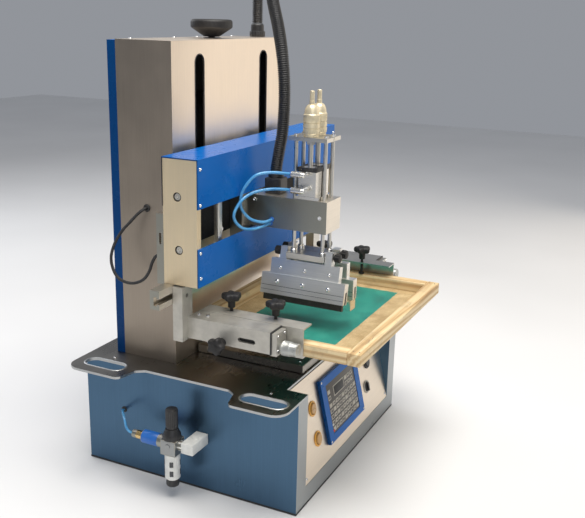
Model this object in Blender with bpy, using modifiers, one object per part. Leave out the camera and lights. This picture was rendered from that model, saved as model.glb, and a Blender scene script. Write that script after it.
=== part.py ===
"""Table-top pneumatic flat-bed screen printer, modelled as an assembly of separate parts.

Metres, +Z up. The origin is the centre of the cabinet's underside. The operator stands on
the -Y side, and +X is the operator's right. Each object is one solid part. Objects that move
hang from an empty on their joint's axis, or have their own origin on it.
"""

import math

import bmesh
import bpy
from mathutils import Matrix, Vector

# ---------------------------------------------------------------- driving dimensions
GAP = 0.0003             # air between parts that touch
SHEET = 0.002            # folded stainless sheet

BASE_W, BASE_D, BASE_H = 0.560, 0.500, 0.243    # cabinet, to the top face of its top plate
TOP_T = 0.005            # top plate
FLANGE_W = 0.0425        # upright strips beside the sloped front panel
FOOT_STRIP_H = 0.0425    # strip below the sloped front panel
SLOPE_BACK = 0.046       # how far the panel's top edge stands back from its bottom edge
PLATE_EDGE_X = 0.2915    # half width of the top plate between its handles
HANDLE_X = 0.350         # half width over the handles

BED = (0.155, -0.200, 0.050, 0.018)             # half width, front, back, thickness

# On the sloped panel, X and the distance up the slope: the controls' holes with their radius,
# and the middle and the size of the keypad's frame and of its key field.
PANEL_HOLES = [(-0.151, 0.130, 0.0125), (-0.151, 0.064, 0.0125), (0.130, 0.068, 0.0125), (0.152, 0.122, 0.0125)]
PAD_MIDDLE, PAD_SIZE = (-0.0143, 0.1020), (0.1955, 0.1420)
FIELD_MIDDLE, FIELD_SIZE = (-0.0154, 0.1012), (0.1490, 0.1075)

COLUMN_X, COLUMN_FRONT, COLUMN_BACK, COLUMN_TOP = 0.236, 0.0534, 0.182, 0.894
BACK_PANEL_T = 0.0197
SHAFT_X, SHAFT_Y, SHAFT_R = 0.175, 0.107, 0.010
SLOT_X, SLOT_W = 0.1355, 0.031
SLOT_LOW, SLOT_HIGH = 0.442, 0.866
GLAND_XY = (0.212, 0.110)
CABLE_EXIT = (0.1167, 0.5676)                    # Y and Z of the hole in the column's side

BEAM_X, BEAM_FRONT, BEAM_BACK = 0.3146, -0.0517, 0.0245
BEAM_LOW, BEAM_HIGH = 0.447, 0.6905
GAP_LOW, GAP_HIGH = 0.522, 0.598                 # the opening between the two covers
END_T = 0.014            # beam end plates
BACK_PLATE_BACK = 0.0405
RAIL_Y, RAIL_R = -0.020, 0.007
RAIL_HIGH_Z, RAIL_LOW_Z = 0.640, 0.480

HEAD_X, HEAD_W = -0.0717, 0.070
HEAD_FRONT = -0.219
HEAD_LOW, HEAD_HIGH = 0.5275, 0.5925
UNIT_Y = -0.173          # middle of the two lifting units
UNIT_PITCH = 0.035       # from the squeegee unit to the flood unit
UNIT_W, UNIT_D = 0.033, 0.083
ROD_SPAN, ROD_R = 0.064, 0.004
YOKE_LOW, YOKE_HIGH = 0.468, 0.717
YOKE_T = 0.008
PIVOT_Z = 0.474
SQUEEGEE_LEAN, FLOOD_LEAN = math.radians(12), 0.0

BAR_X, BAR_FRONT, BAR_LOW, BAR_HIGH = 0.364, 0.003, 0.409, 0.4466
WEB_X = 0.2552           # outer face of the frame channels
CHANNEL_W, CHANNEL_T = 0.037, 0.003
CHANNEL_LOW, CHANNEL_HIGH = 0.3225, 0.3815
CHANNEL_FRONT, CHANNEL_BACK = -0.244, -0.019
ARM_W, ARM_LOW, ARM_HIGH, ARM_FRONT = 0.045, 0.3378, 0.3810, -0.197
BRACKET_OUT, BRACKET_IN, BRACKET_FRONT, BRACKET_LOW = 0.320, 0.284, -0.0187, 0.335
ADJUSTER_Z = 0.347
KNOB_X = 0.228
KNOB_YS = {"rear": -0.074, "front": -0.172}

FRAME_X, FRAME_FRONT, FRAME_BACK = 0.2515, -0.3585, 0.027
FRAME_LOW, FRAME_HIGH, RAIL_W = 0.3258, 0.351, 0.027

FILTER_X, FILTER_Y, PORT_Z = -0.330, 0.003, 0.118

CONDUIT_D, CABLE_D, TUBE_D, SUPPLY_D = 0.025, 0.006, 0.006, 0.005

# Routes of the hoses and the cable: points chosen by hand, from one end to the other.
CONDUIT_FIXED = [
    (0.2120, 0.1100, 0.9243), (0.2120, 0.1100, 0.9400), (0.2085, 0.1080, 0.9900),
    (0.1980, 0.1010, 1.0350), (0.1760, 0.0870, 1.0700), (0.1450, 0.0685, 1.0930),
    (0.1175, 0.0504, 1.0997), (0.1050, 0.0420, 1.0990),
]
CONDUIT_MOVING = [
    (0.1046, 0.0417, 1.0990), (0.0921, 0.0333, 1.0983), (0.0640, 0.0140, 1.0860),
    (0.0370, -0.0060, 1.0600),
    (0.0120, -0.0250, 1.0200), (-0.0130, -0.0450, 0.9720), (-0.0360, -0.0690, 0.9250),
    (-0.0530, -0.0870, 0.8780), (-0.0590, -0.0960, 0.8300), (-0.0600, -0.0985, 0.7790),
    (-0.0605, -0.0960, 0.7190), (-0.0645, -0.0915, 0.6800), (-0.0675, -0.0875, 0.6480),
    (-0.0680, -0.0870, 0.6380), (-0.0680, -0.0870, 0.6253),
]
SENSOR_CABLE = [
    (-0.2364, 0.1167, 0.5676), (-0.2430, 0.1167, 0.5676), (-0.2530, 0.1255, 0.5590),
    (-0.2620, 0.1400, 0.5410), (-0.2720, 0.1530, 0.5230), (-0.2800, 0.1652, 0.4985),
    (-0.2870, 0.1698, 0.4745), (-0.2900, 0.1668, 0.4549), (-0.2920, 0.1560, 0.4360),
    (-0.2940, 0.1380, 0.4270), (-0.2960, 0.1120, 0.4270), (-0.2980, 0.0862, 0.4387),
    (-0.3000, 0.0700, 0.4580), (-0.3000, 0.0625, 0.4770), (-0.3000, 0.0550, 0.4900),
    (-0.3000, 0.0470, 0.4955), (-0.3000, 0.0408, 0.4955),
]
UPPER_TUBE = [
    (-0.1220, -0.1480, 0.6450), (-0.1220, -0.1320, 0.6450), (-0.1300, -0.1040, 0.6450),
    (-0.1480, -0.0810, 0.6390), (-0.1600, -0.0625, 0.6130), (-0.1640, -0.0570, 0.5900),
    (-0.1600, -0.0590, 0.5690), (-0.1480, -0.0720, 0.5500), (-0.1320, -0.0900, 0.5430),
    (-0.1180, -0.0985, 0.5443), (-0.1070, -0.0985, 0.5445),
]
LOWER_TUBE = [
    (-0.1220, -0.1480, 0.6130), (-0.1220, -0.1320, 0.6130), (-0.1310, -0.1060, 0.6120),
    (-0.1480, -0.0800, 0.6060), (-0.1690, -0.0665, 0.5950), (-0.1830, -0.0590, 0.5790),
    (-0.1890, -0.0560, 0.5630), (-0.1840, -0.0590, 0.5480), (-0.1700, -0.0670, 0.5350),
    (-0.1520, -0.0780, 0.5310), (-0.1330, -0.0880, 0.5330), (-0.1180, -0.0945, 0.5362),
    (-0.1120, -0.0955, 0.5365), (-0.1070, -0.0955, 0.5365),
]
SUPPLY_TUBE = [
    (-0.3300, 0.0967, 0.1180), (-0.3300, 0.1080, 0.1183), (-0.3292, 0.1160, 0.1270),
    (-0.3270, 0.1200, 0.1380), (-0.3190, 0.1300, 0.1470), (-0.3060, 0.1410, 0.1480),
    (-0.2950, 0.1510, 0.1400), (-0.2870, 0.1560, 0.1360),
    (-0.2803, 0.1560, 0.1356),
]

MATERIALS = {                    # base colour, roughness, metallic
    "stainless": ((0.52, 0.50, 0.47), 0.35, 1.0),
    "aluminium": ((0.72, 0.70, 0.66), 0.40, 1.0),
    "steel": ((0.55, 0.55, 0.56), 0.25, 1.0),
    "blue_paint": ((0.02, 0.16, 0.50), 0.30, 0.0),
    "black_plastic": ((0.02, 0.02, 0.02), 0.45, 0.0),
    "grey_plastic": ((0.45, 0.43, 0.40), 0.50, 0.0),
    "yellow_plastic": ((0.75, 0.45, 0.06), 0.35, 0.0),
    "white_plastic": ((0.80, 0.80, 0.76), 0.40, 0.0),
    "rubber": ((0.05, 0.05, 0.05), 0.70, 0.0),
    "wood": ((0.70, 0.52, 0.30), 0.65, 0.0),
    "mesh_fabric": ((0.05, 0.28, 0.22), 0.60, 0.0),
    "air_tube": ((0.25, 0.50, 0.75), 0.30, 0.0),
}

ALONG_X = (math.radians(90), 0.0, math.radians(90))    # local X, Y, Z lie along Y, Z, X
ALONG_Y = (math.radians(90), 0.0, 0.0)                 # local X, Y, Z lie along X, Z, -Y


# ---------------------------------------------------------------- scene helpers
def clear_scene():
    for thing in list(bpy.data.objects):
        bpy.data.objects.remove(thing, do_unlink=True)


def new_collection(name):
    collection = bpy.data.collections.new(name)
    bpy.context.scene.collection.children.link(collection)
    return collection


clear_scene()
PARTS = new_collection("screen_printer")
GUIDES = new_collection("cutters")


def material(name):
    found = bpy.data.materials.get(name)
    if found:
        return found
    colour, roughness, metallic = MATERIALS[name]
    made = bpy.data.materials.new(name)
    made.use_nodes = True
    shader = made.node_tree.nodes["Principled BSDF"]
    shader.inputs["Base Color"].default_value = (*colour, 1.0)
    shader.inputs["Roughness"].default_value = roughness
    shader.inputs["Metallic"].default_value = metallic
    return made


def axis_empty(name, at, parent=None):
    """The empty that a moving group hangs from."""
    empty = bpy.data.objects.new(name, None)
    empty.empty_display_size = 0.03
    PARTS.objects.link(empty)
    empty.location = at
    empty["world"] = at
    if parent:
        hang(empty, parent)
    return empty


def hang(thing, parent):
    """Parent a thing to an axis empty, and leave it where it is."""
    thing.parent = parent
    thing.matrix_parent_inverse = Matrix.Translation(parent["world"]).inverted()


def add(name, mesh, finish, at=(0, 0, 0), turn=(0, 0, 0), parent=None):
    """A part from a mesh, or a guide for booleans when it has no finish."""
    thing = bpy.data.objects.new(name, mesh)
    (PARTS if finish else GUIDES).objects.link(thing)
    thing.location = at
    thing.rotation_euler = turn
    if finish:
        mesh.materials.clear()
        mesh.materials.append(material(finish))
    else:
        thing.hide_render = True
        thing.display_type = "WIRE"
    if parent:
        hang(thing, parent)
    return thing


def boolean(thing, guide, operation):
    step = thing.modifiers.new(operation.lower(), "BOOLEAN")
    step.operation = operation
    step.object = guide


def cut(thing, *guides):
    for guide in guides:
        boolean(thing, guide, "DIFFERENCE")


def join(thing, *guides):
    for guide in guides:
        boolean(thing, guide, "UNION")


def bevel(thing, width, segments=2):
    step = thing.modifiers.new("edges", "BEVEL")
    step.width = width
    step.segments = segments
    step.limit_method = "ANGLE"
    return thing


def round_shading(mesh):
    mesh.shade_smooth()
    mesh.set_sharp_from_angle(angle=math.radians(35))


# ---------------------------------------------------------------- shapes
def box_mesh(size):
    bm = bmesh.new()
    bmesh.ops.create_cube(bm, size=1.0)
    bmesh.ops.scale(bm, vec=size, verts=bm.verts)
    mesh = bpy.data.meshes.new("box")
    bm.to_mesh(mesh)
    bm.free()
    return mesh


def box(name, low, high, finish=None, parent=None):
    """A box between two corners."""
    low, high = Vector(low), Vector(high)
    return add(name, box_mesh(high - low), finish, (low + high) / 2, parent=parent)


def block(low, high):
    return box("guide_box", low, high)


def rod_mesh(radius, length, sides):
    bm = bmesh.new()
    bmesh.ops.create_cone(bm, cap_ends=True, segments=sides, radius1=radius, radius2=radius, depth=length)
    mesh = bpy.data.meshes.new("rod")
    bm.to_mesh(mesh)
    bm.free()
    round_shading(mesh)
    return mesh


def rod(name, start, end, radius, finish=None, sides=24, parent=None):
    """A round bar between two points."""
    start, end = Vector(start), Vector(end)
    turn = (end - start).to_track_quat("Z", "Y").to_euler()
    return add(name, rod_mesh(radius, (end - start).length, sides), finish, (start + end) / 2, turn, parent)


def bar(start, end, radius, sides=24):
    return rod("guide_rod", start, end, radius, sides=sides)


def turned(name, profile, finish, at, turn=(0, 0, 0), sides=32, parent=None):
    """A solid of revolution about local Z. The profile runs top to bottom as (radius, height)."""
    mesh = bpy.data.meshes.new(name)
    edges = [(i, i + 1) for i in range(len(profile) - 1)]
    mesh.from_pydata([(r, 0.0, z) for r, z in profile], edges, [])
    thing = add(name, mesh, finish, at, turn, parent)
    screw = thing.modifiers.new("turn", "SCREW")
    screw.steps = screw.render_steps = sides
    screw.use_merge_vertices = True
    screw.merge_threshold = 0.00005
    screw.use_smooth_shade = False
    return thing


def outline_mesh(loops, thickness):
    """A flat plate about local Z=0 from 2D loops: the first is the edge, the others are holes."""
    curve = bpy.data.curves.new("outline", "CURVE")
    curve.dimensions = "2D"
    curve.fill_mode = "BOTH"
    curve.extrude = thickness / 2
    for loop in loops:
        spline = curve.splines.new("POLY")
        spline.points.add(len(loop) - 1)
        for point, (x, y) in zip(spline.points, loop):
            point.co = (x, y, 0.0, 1.0)
        spline.use_cyclic_u = True
    source = bpy.data.objects.new("outline", curve)
    GUIDES.objects.link(source)
    bpy.context.view_layer.update()
    solid = source.evaluated_get(bpy.context.evaluated_depsgraph_get())
    mesh = bpy.data.meshes.new_from_object(solid)
    bpy.data.objects.remove(source, do_unlink=True)
    bm = bmesh.new()
    bm.from_mesh(mesh)
    bmesh.ops.remove_doubles(bm, verts=bm.verts, dist=0.00002)
    bmesh.ops.recalc_face_normals(bm, faces=bm.faces)
    bm.to_mesh(mesh)
    bm.free()
    return mesh


def rounded(corners, steps=6):
    """A closed outline with each corner (x, y, radius) rounded by an arc."""
    outline = []
    for i, (x, y, radius) in enumerate(corners):
        here = Vector((x, y))
        if radius <= 0:
            outline.append((x, y))
            continue
        before = (Vector(corners[i - 1][:2]) - here).normalized()
        after = (Vector(corners[(i + 1) % len(corners)][:2]) - here).normalized()
        half = before.angle(after) / 2
        middle = here + (before + after).normalized() * (radius / math.sin(half))
        first = here + before * (radius / math.tan(half)) - middle
        sweep = math.pi - 2 * half
        side = 1 if before.x * after.y - before.y * after.x < 0 else -1
        for k in range(steps + 1):
            turn = side * sweep * k / steps
            c, s = math.cos(turn), math.sin(turn)
            outline.append((middle.x + c * first.x - s * first.y, middle.y + s * first.x + c * first.y))
    return outline


def slot_loop(x, low, high, width, steps=6):
    """A rounded slot along Y, centred on x."""
    half = width / 2
    return rounded(
        [(x - half, low, half * 0.9), (x + half, low, half * 0.9),
         (x + half, high, half * 0.9), (x - half, high, half * 0.9)], steps)


def smooth_route(points, spacing):
    """Even points along the smooth curve through a route's own points."""
    route = [Vector(p) for p in points]
    ends = [route[0] * 2 - route[1]] + route + [route[-1] * 2 - route[-2]]
    fine = []
    for a, b, c, d in zip(ends, ends[1:], ends[2:], ends[3:]):
        for k in range(12):
            t = k / 12
            fine.append(0.5 * (2 * b + (c - a) * t + (2 * a - 5 * b + 4 * c - d) * t * t
                               + (3 * b - a - 3 * c + d) * t ** 3))
    fine.append(route[-1])
    total = sum((q - p).length for p, q in zip(fine, fine[1:]))
    count = max(6, round(total / spacing))
    lead = 0.1 * spacing                     # a short straight end, so that the cap is square
    first = route[0] + (route[1] - route[0]).normalized() * lead
    last = route[-1] + (route[-2] - route[-1]).normalized() * lead
    wanted = [total * k / count for k in range(1, count)]
    even, walked = [route[0], first], 0.0
    for p, q in zip(fine, fine[1:]):
        step = (q - p).length
        while wanted and walked + step >= wanted[0]:
            even.append(p.lerp(q, (wanted.pop(0) - walked) / step))
        walked += step
    return even + [last, route[-1]]


def hose(name, points, diameter, finish, resolution=2, parent=None):
    """A tube along a route, as a curve with filled caps."""
    curve = bpy.data.curves.new(name, "CURVE")
    curve.dimensions = "3D"
    curve.bevel_depth = diameter / 2
    curve.bevel_resolution = resolution
    curve.use_fill_caps = True
    route = smooth_route(points, diameter * 2.2)
    spline = curve.splines.new("POLY")
    spline.points.add(len(route) - 1)
    for point, place in zip(spline.points, route):
        point.co = (*place, 1.0)
    curve.materials.append(material(finish))
    thing = bpy.data.objects.new(name, curve)
    PARTS.objects.link(thing)
    if parent:
        hang(thing, parent)
    return thing


# ---------------------------------------------------------------- cabinet
def panel_point(x, along, out=0.0):
    """A point on the sloped front panel: along its slope from the bottom edge, and out of it."""
    rise = BASE_H - FOOT_STRIP_H
    slope = Vector((0, SLOPE_BACK, rise)).normalized()
    normal = Vector((0, -rise, SLOPE_BACK)).normalized()
    return Vector((x, -BASE_D / 2, FOOT_STRIP_H)) + slope * along + normal * out


PANEL_TILT = math.atan2(SLOPE_BACK, BASE_H - FOOT_STRIP_H)     # lean from upright
PANEL_TURN = (math.radians(90) - PANEL_TILT, 0.0, 0.0)         # local Z points out of the panel


def cabinet_shell():
    half_w, half_d = BASE_W / 2, BASE_D / 2
    top = BASE_H - TOP_T - GAP
    shell = box("cabinet_shell", (-half_w, -half_d, 0), (half_w, half_d, top), "stainless")
    inner_w = half_w - FLANGE_W
    recess = [(-half_d - 0.01, FOOT_STRIP_H), (-half_d + 0.0028, FOOT_STRIP_H),
              (-half_d + SLOPE_BACK + 0.0028, BASE_H), (-half_d - 0.01, BASE_H)]
    cheek = [(-half_d + 0.0005, FOOT_STRIP_H), (-half_d + 0.003, FOOT_STRIP_H - 0.004),
             (-half_d + SLOPE_BACK + 0.006, top), (-half_d + 0.0005, top)]
    cut(shell,
        block((-half_w + SHEET, -half_d + SHEET, SHEET), (half_w - SHEET, half_d - SHEET, BASE_H)),
        add("guide_recess", outline_mesh([recess], 2 * inner_w), None, turn=ALONG_X))
    for side in (-1, 1):
        join(shell, add("guide_cheek", outline_mesh([cheek], SHEET), None,
                        (side * (inner_w + SHEET / 2), 0, 0), ALONG_X))


def front_panel():
    inner_w = BASE_W / 2 - FLANGE_W - GAP
    length = math.hypot(SLOPE_BACK, BASE_H - FOOT_STRIP_H) - TOP_T - 0.001
    holes = [[(x + r * math.cos(a), along - length / 2 + r * math.sin(a))
              for a in (math.radians(15 * k) for k in range(24))] for x, along, r in PANEL_HOLES]
    foot = -length / 2 + 0.001
    edge = [(-inner_w, foot), (inner_w, foot), (inner_w, length / 2), (-inner_w, length / 2)]
    add("front_panel", outline_mesh([edge] + holes, SHEET), "stainless",
        panel_point(0, length / 2, -SHEET / 2), PANEL_TURN)


def top_plate():
    half_d, notch = BASE_D / 2, BASE_W / 2 - FLANGE_W
    right = [
        (notch, -half_d + SLOPE_BACK, 0), (notch, -half_d, 0),
        (HANDLE_X, -half_d, 0.030), (HANDLE_X, -0.134, 0.014), (PLATE_EDGE_X + 0.012, -0.122, 0.010),
        (PLATE_EDGE_X, -0.104, 0.010), (PLATE_EDGE_X, 0.090, 0.010), (PLATE_EDGE_X + 0.012, 0.108, 0.010),
        (HANDLE_X, 0.118, 0.014), (HANDLE_X, half_d, 0.030),
    ]
    left = [(-x, y, r) for x, y, r in reversed(right)]
    slots = [slot_loop(side * 0.3045, low, high, 0.038)
             for side in (-1, 1) for low, high in ((-0.237, -0.139), (0.134, 0.228))]
    add("top_plate", outline_mesh([rounded(right + left)] + slots, TOP_T), "stainless",
        (0, 0, BASE_H - TOP_T / 2))


def table_bed():
    half_w, front, back, thick = BED
    bed = box("table_bed", (-half_w, front, BASE_H + GAP), (half_w, back, BASE_H + GAP + thick), "aluminium")
    bevel(bed, 0.0012, 1)


def keypad():
    """The framed keypad on the sloped panel, with its recessed key field."""
    thick, deep = 0.008, 0.0015
    plate = add("keypad", box_mesh((*PAD_SIZE, thick)), "blue_paint", panel_point(*PAD_MIDDLE, thick / 2 + GAP), PANEL_TURN)
    above = panel_point(*FIELD_MIDDLE, thick + GAP - deep + 0.005)
    field = add("guide_field", box_mesh((*FIELD_SIZE, 0.010)), None, above, PANEL_TURN)
    cut(plate, field)
    bevel(plate, 0.0006, 1)


def push_button(name, x, along, finish):
    """A nearly flush plunger that passes through its hole in the panel."""
    empty = axis_empty(name + "_axis", panel_point(x, along))
    profile = [(0, 0.0055), (0.0100, 0.0052), (0.0115, 0.0038), (0.0115, -0.024), (0, -0.024)]
    turned(name, profile, finish, panel_point(x, along), PANEL_TURN, 24, empty)


def mode_switch():
    """The two-position selector: a low handle across a round shaft."""
    x, along, _ = PANEL_HOLES[2]
    profile = [(0, 0.0030), (0.0110, 0.0030), (0.0115, 0.0024), (0.0115, -0.024), (0, -0.024)]
    switch = turned("mode_switch", profile, "black_plastic", panel_point(x, along), PANEL_TURN, 24)
    grip = add("guide_grip", box_mesh((0.0050, 0.0190, 0.0060)), None, panel_point(x, along, 0.0040), PANEL_TURN)
    join(switch, grip)


def build_cabinet():
    cabinet_shell()
    front_panel()
    top_plate()
    table_bed()
    keypad()
    push_button("start_button", *PANEL_HOLES[0][:2], "yellow_plastic")
    push_button("stop_button", *PANEL_HOLES[1][:2], "yellow_plastic")
    mode_switch()
    push_button("power_button", *PANEL_HOLES[3][:2], "black_plastic")


# ---------------------------------------------------------------- column and height adjustment
def column_cover():
    low = BASE_H + GAP
    cover = box("column_cover", (-COLUMN_X, COLUMN_FRONT, low), (COLUMN_X, COLUMN_BACK, COLUMN_TOP), "stainless")
    cut(cover,
        block((-COLUMN_X + SHEET, COLUMN_FRONT + SHEET, 0), (COLUMN_X - SHEET, COLUMN_BACK + 0.01, COLUMN_TOP - SHEET)),
        bar((0, SHAFT_Y, COLUMN_TOP - 0.02), (0, SHAFT_Y, COLUMN_TOP + 0.02), 0.0085),
        bar((-COLUMN_X - 0.01, *CABLE_EXIT), (-COLUMN_X + 0.01, *CABLE_EXIT), 0.0045, 16))
    for side in (-1, 1):
        middle = side * SLOT_X
        slot = outline_mesh([slot_loop(middle, SLOT_LOW, SLOT_HIGH, SLOT_W)], 0.02)
        cut(cover, add("guide_slot", slot, None, (0, COLUMN_FRONT, 0), ALONG_Y))


def column_back_panel():
    front, back = COLUMN_BACK + GAP, COLUMN_BACK + BACK_PANEL_T
    low, high = BASE_H + GAP, COLUMN_TOP - 0.002
    tray = box("column_back_panel", (-COLUMN_X, front, low), (COLUMN_X, back, high), "blue_paint")
    cut(tray, block((-COLUMN_X + SHEET, front - 0.01, low + SHEET), (COLUMN_X - SHEET, back - SHEET, high - SHEET)))


def height_handwheel():
    """Mushroom handwheel and the lead screw that it turns, in one turned part."""
    wheel = 0.0445
    profile = [(0, 0.933), (wheel - 0.006, 0.933), (wheel - 0.0015, 0.931), (wheel, 0.927), (wheel, 0.918),
               (wheel - 0.002, 0.915), (0.0165, 0.8975), (0.0070, 0.8975), (0.0070, 0.665), (0, 0.665)]
    turned("height_handwheel", [(r, z - 0.9) for r, z in profile], "black_plastic", (0, SHAFT_Y, 0.9), sides=32)


def stop_crosshead():
    """The nut plate on the lead screw that sets how far the beam may rise."""
    empty = axis_empty("stop_axis", (0, SHAFT_Y, 0.77))
    plate = box("stop_crosshead", (-0.198, SHAFT_Y - 0.017, 0.760), (0.198, SHAFT_Y + 0.017, 0.785), "steel", empty)
    cut(plate, *[bar((x, SHAFT_Y, 0.7), (x, SHAFT_Y, 0.8), r + 0.0003) for x, r in
                 ((-SHAFT_X, SHAFT_R), (0, 0.007), (SHAFT_X, SHAFT_R))])


def guide_shafts():
    for name, x in (("guide_shaft_left", -SHAFT_X), ("guide_shaft_right", SHAFT_X)):
        rod(name, (x, SHAFT_Y, BASE_H + GAP), (x, SHAFT_Y, COLUMN_TOP - SHEET - GAP), SHAFT_R, "steel")


def lift_cylinder():
    barrel = rod("lift_cylinder", (0, SHAFT_Y, BASE_H + GAP), (0, SHAFT_Y, 0.440), 0.024, "aluminium", 32)
    cut(barrel, bar((0, SHAFT_Y, 0.262), (0, SHAFT_Y, 0.500), 0.0085))


def lift_carriage(parent):
    """The plate that runs on the guide shafts, with its bearings, rod and the lugs through the slots."""
    low, high = 0.500, 0.620
    plate = box("lift_carriage", (-0.198, 0.062, low), (0.198, 0.082, high), "steel", parent)
    join(plate, block((-0.030, 0.081, low), (0.030, 0.130, low + 0.032)),
         bar((0, SHAFT_Y, 0.330), (0, SHAFT_Y, low + 0.010), 0.008))
    for side in (-1, 1):
        bearing, lug = side * SHAFT_X, side * SLOT_X
        join(plate, block((bearing - 0.021, 0.081, low + 0.005), (bearing + 0.021, 0.128, high - 0.005)),
             block((lug - 0.013, BACK_PLATE_BACK + GAP, low + 0.006), (lug + 0.013, 0.063, low + 0.074)))
    for side in (-1, 1):
        cut(plate, bar((side * SHAFT_X, SHAFT_Y, low - 0.01), (side * SHAFT_X, SHAFT_Y, high + 0.01), SHAFT_R + 0.0003))


def column_gland():
    profile = [(0, 0.0297), (0.0128, 0.0297), (0.0150, 0.0270), (0.0155, 0.0120), (0.0170, 0.0100),
               (0.0170, GAP), (0, GAP)]
    turned("column_gland", profile, "black_plastic", (*GLAND_XY, COLUMN_TOP), sides=24)


def build_column(beam_axis):
    column_cover()
    column_back_panel()
    height_handwheel()
    stop_crosshead()
    guide_shafts()
    lift_cylinder()
    lift_carriage(beam_axis)
    column_gland()


# ---------------------------------------------------------------- beam
def beam_ends(parent):
    for name, side in (("beam_end_left", -1), ("beam_end_right", 1)):
        outer, inner = side * BEAM_X, side * (BEAM_X - END_T)
        plate = box(name, (min(outer, inner), BEAM_FRONT + SHEET + GAP, BEAM_LOW),
                    (max(outer, inner), BEAM_BACK, BEAM_HIGH - SHEET - GAP), "aluminium", parent)
        for y, z in ((-0.007, 0.618), (-0.0095, 0.516)):
            cut(plate, bar((outer - 0.006, y, z), (outer + 0.006, y, z), 0.0088, 20))


def beam_back_plate(parent):
    plate = box("beam_back_plate", (-BEAM_X, BEAM_BACK + GAP, 0.4435), (BEAM_X, BACK_PLATE_BACK, 0.582), "aluminium", parent)
    cut(plate, block((-BEAM_X - 0.01, 0.0300, 0.523), (-BEAM_X + 0.012, 0.0345, 0.5445)))


def covers(parent):
    """Folded blue covers: the upper one wraps over the beam's top, the lower one closes its front."""
    front = BEAM_FRONT
    upper = box("upper_cover", (-BEAM_X, front, GAP_HIGH), (BEAM_X, BEAM_BACK + SHEET, BEAM_HIGH), "blue_paint", parent)
    cut(upper, block((-BEAM_X - 0.01, front + SHEET, GAP_HIGH - 0.01), (BEAM_X + 0.01, BEAM_BACK + GAP, BEAM_HIGH - SHEET)),
        block((-BEAM_X - 0.01, BEAM_BACK, GAP_HIGH - 0.01), (BEAM_X + 0.01, BEAM_BACK + 0.01, BEAM_HIGH - 0.022)))
    box("lower_cover", (-BEAM_X, front, BEAM_LOW), (BEAM_X, front + SHEET, GAP_LOW), "blue_paint", parent)


def traverse(parent):
    inner = BEAM_X - END_T - GAP
    for name, z in (("traverse_rail_upper", RAIL_HIGH_Z), ("traverse_rail_lower", RAIL_LOW_Z)):
        rod(name, (-inner, RAIL_Y, z), (inner, RAIL_Y, z), RAIL_R, "steel", parent=parent)
    cylinder = box("traverse_cylinder", (-inner, -0.002, 0.543), (inner, 0.022, 0.577), "aluminium", parent)
    cut(cylinder, block((-inner + 0.03, -0.005, 0.557), (inner - 0.03, 0.002, 0.563)))


def clamp_bar(parent):
    """The T-slotted bar under the beam that carries both screen arms."""
    middle = 0.4257
    bar_part = box("clamp_bar", (-BAR_X, BAR_FRONT, BAR_LOW), (BAR_X, BEAM_BACK - GAP, BAR_HIGH), "aluminium", parent)
    cut(bar_part, block((-BAR_X - 0.01, BAR_FRONT - 0.01, middle - 0.0055), (BAR_X + 0.01, BAR_FRONT + 0.008, middle + 0.0055)),
        block((-BAR_X - 0.01, BAR_FRONT + 0.006, middle - 0.009), (BAR_X + 0.01, BAR_FRONT + 0.013, middle + 0.009)))


def build_beam(parent):
    beam_ends(parent)
    beam_back_plate(parent)
    covers(parent)
    traverse(parent)
    clamp_bar(parent)


# ---------------------------------------------------------------- print head
def unit_x(index):
    """X of the squeegee unit (0) or the flood unit (1)."""
    return HEAD_X - UNIT_PITCH / 2 + index * UNIT_PITCH


def rod_places():
    return [(unit_x(i), UNIT_Y + side * ROD_SPAN / 2) for i in (0, 1) for side in (-1, 1)]


def head_block(parent):
    """The carriage on the rails and the arm that it carries through the gap between the covers."""
    half = HEAD_W / 2
    head = box("head_block", (HEAD_X - half, HEAD_FRONT, HEAD_LOW), (HEAD_X + half, -0.033, HEAD_HIGH), "aluminium", parent)
    join(head, block((HEAD_X - 0.045, -0.034, 0.462), (HEAD_X + 0.045, -0.006, 0.657)))
    cut(head, *[bar((HEAD_X - 0.1, RAIL_Y, z), (HEAD_X + 0.1, RAIL_Y, z), RAIL_R + 0.0003) for z in (RAIL_HIGH_Z, RAIL_LOW_Z)])
    cut(head, *[bar((x, y, HEAD_LOW - 0.01), (x, y, HEAD_HIGH + 0.01), ROD_R + 0.0003, 16) for x, y in rod_places()])


def head_gland(parent):
    gland = box("head_gland", (-0.086, -0.105, HEAD_HIGH + GAP), (-0.050, -0.069, 0.6250), "black_plastic", parent)
    bevel(gland, 0.003, 2)


def unit_cylinder(name, x, parent):
    """Compact cylinder on the head, between the two guide rods, with its base and its two air elbows."""
    floor = HEAD_HIGH + GAP
    body = box(name, (x - 0.014, UNIT_Y - 0.019, floor + 0.006), (x + 0.014, UNIT_Y + 0.019, 0.6525), "aluminium", parent)
    join(body, block((x - 0.0155, UNIT_Y - 0.027, floor), (x + 0.0155, UNIT_Y + 0.027, floor + 0.0065)),
         block((x - 0.0155, UNIT_Y - 0.0205, 0.652), (x + 0.0155, UNIT_Y + 0.0205, 0.657)))
    cut(body, bar((x, UNIT_Y, 0.603), (x, UNIT_Y, 0.670), 0.0056, 16))
    if x < HEAD_X:
        for z in (0.645, 0.613):
            join(body, bar((x - 0.012, -0.166, z), (x - 0.0275, -0.166, z), 0.0055, 16),
                 bar((x - 0.033 + 0.0002, -0.170, z), (x - 0.033 + 0.0002, -0.1483, z), 0.0060, 16),
                 block((x - 0.033, -0.1710, z - 0.005), (x - 0.024, -0.1610, z + 0.005)))


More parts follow.
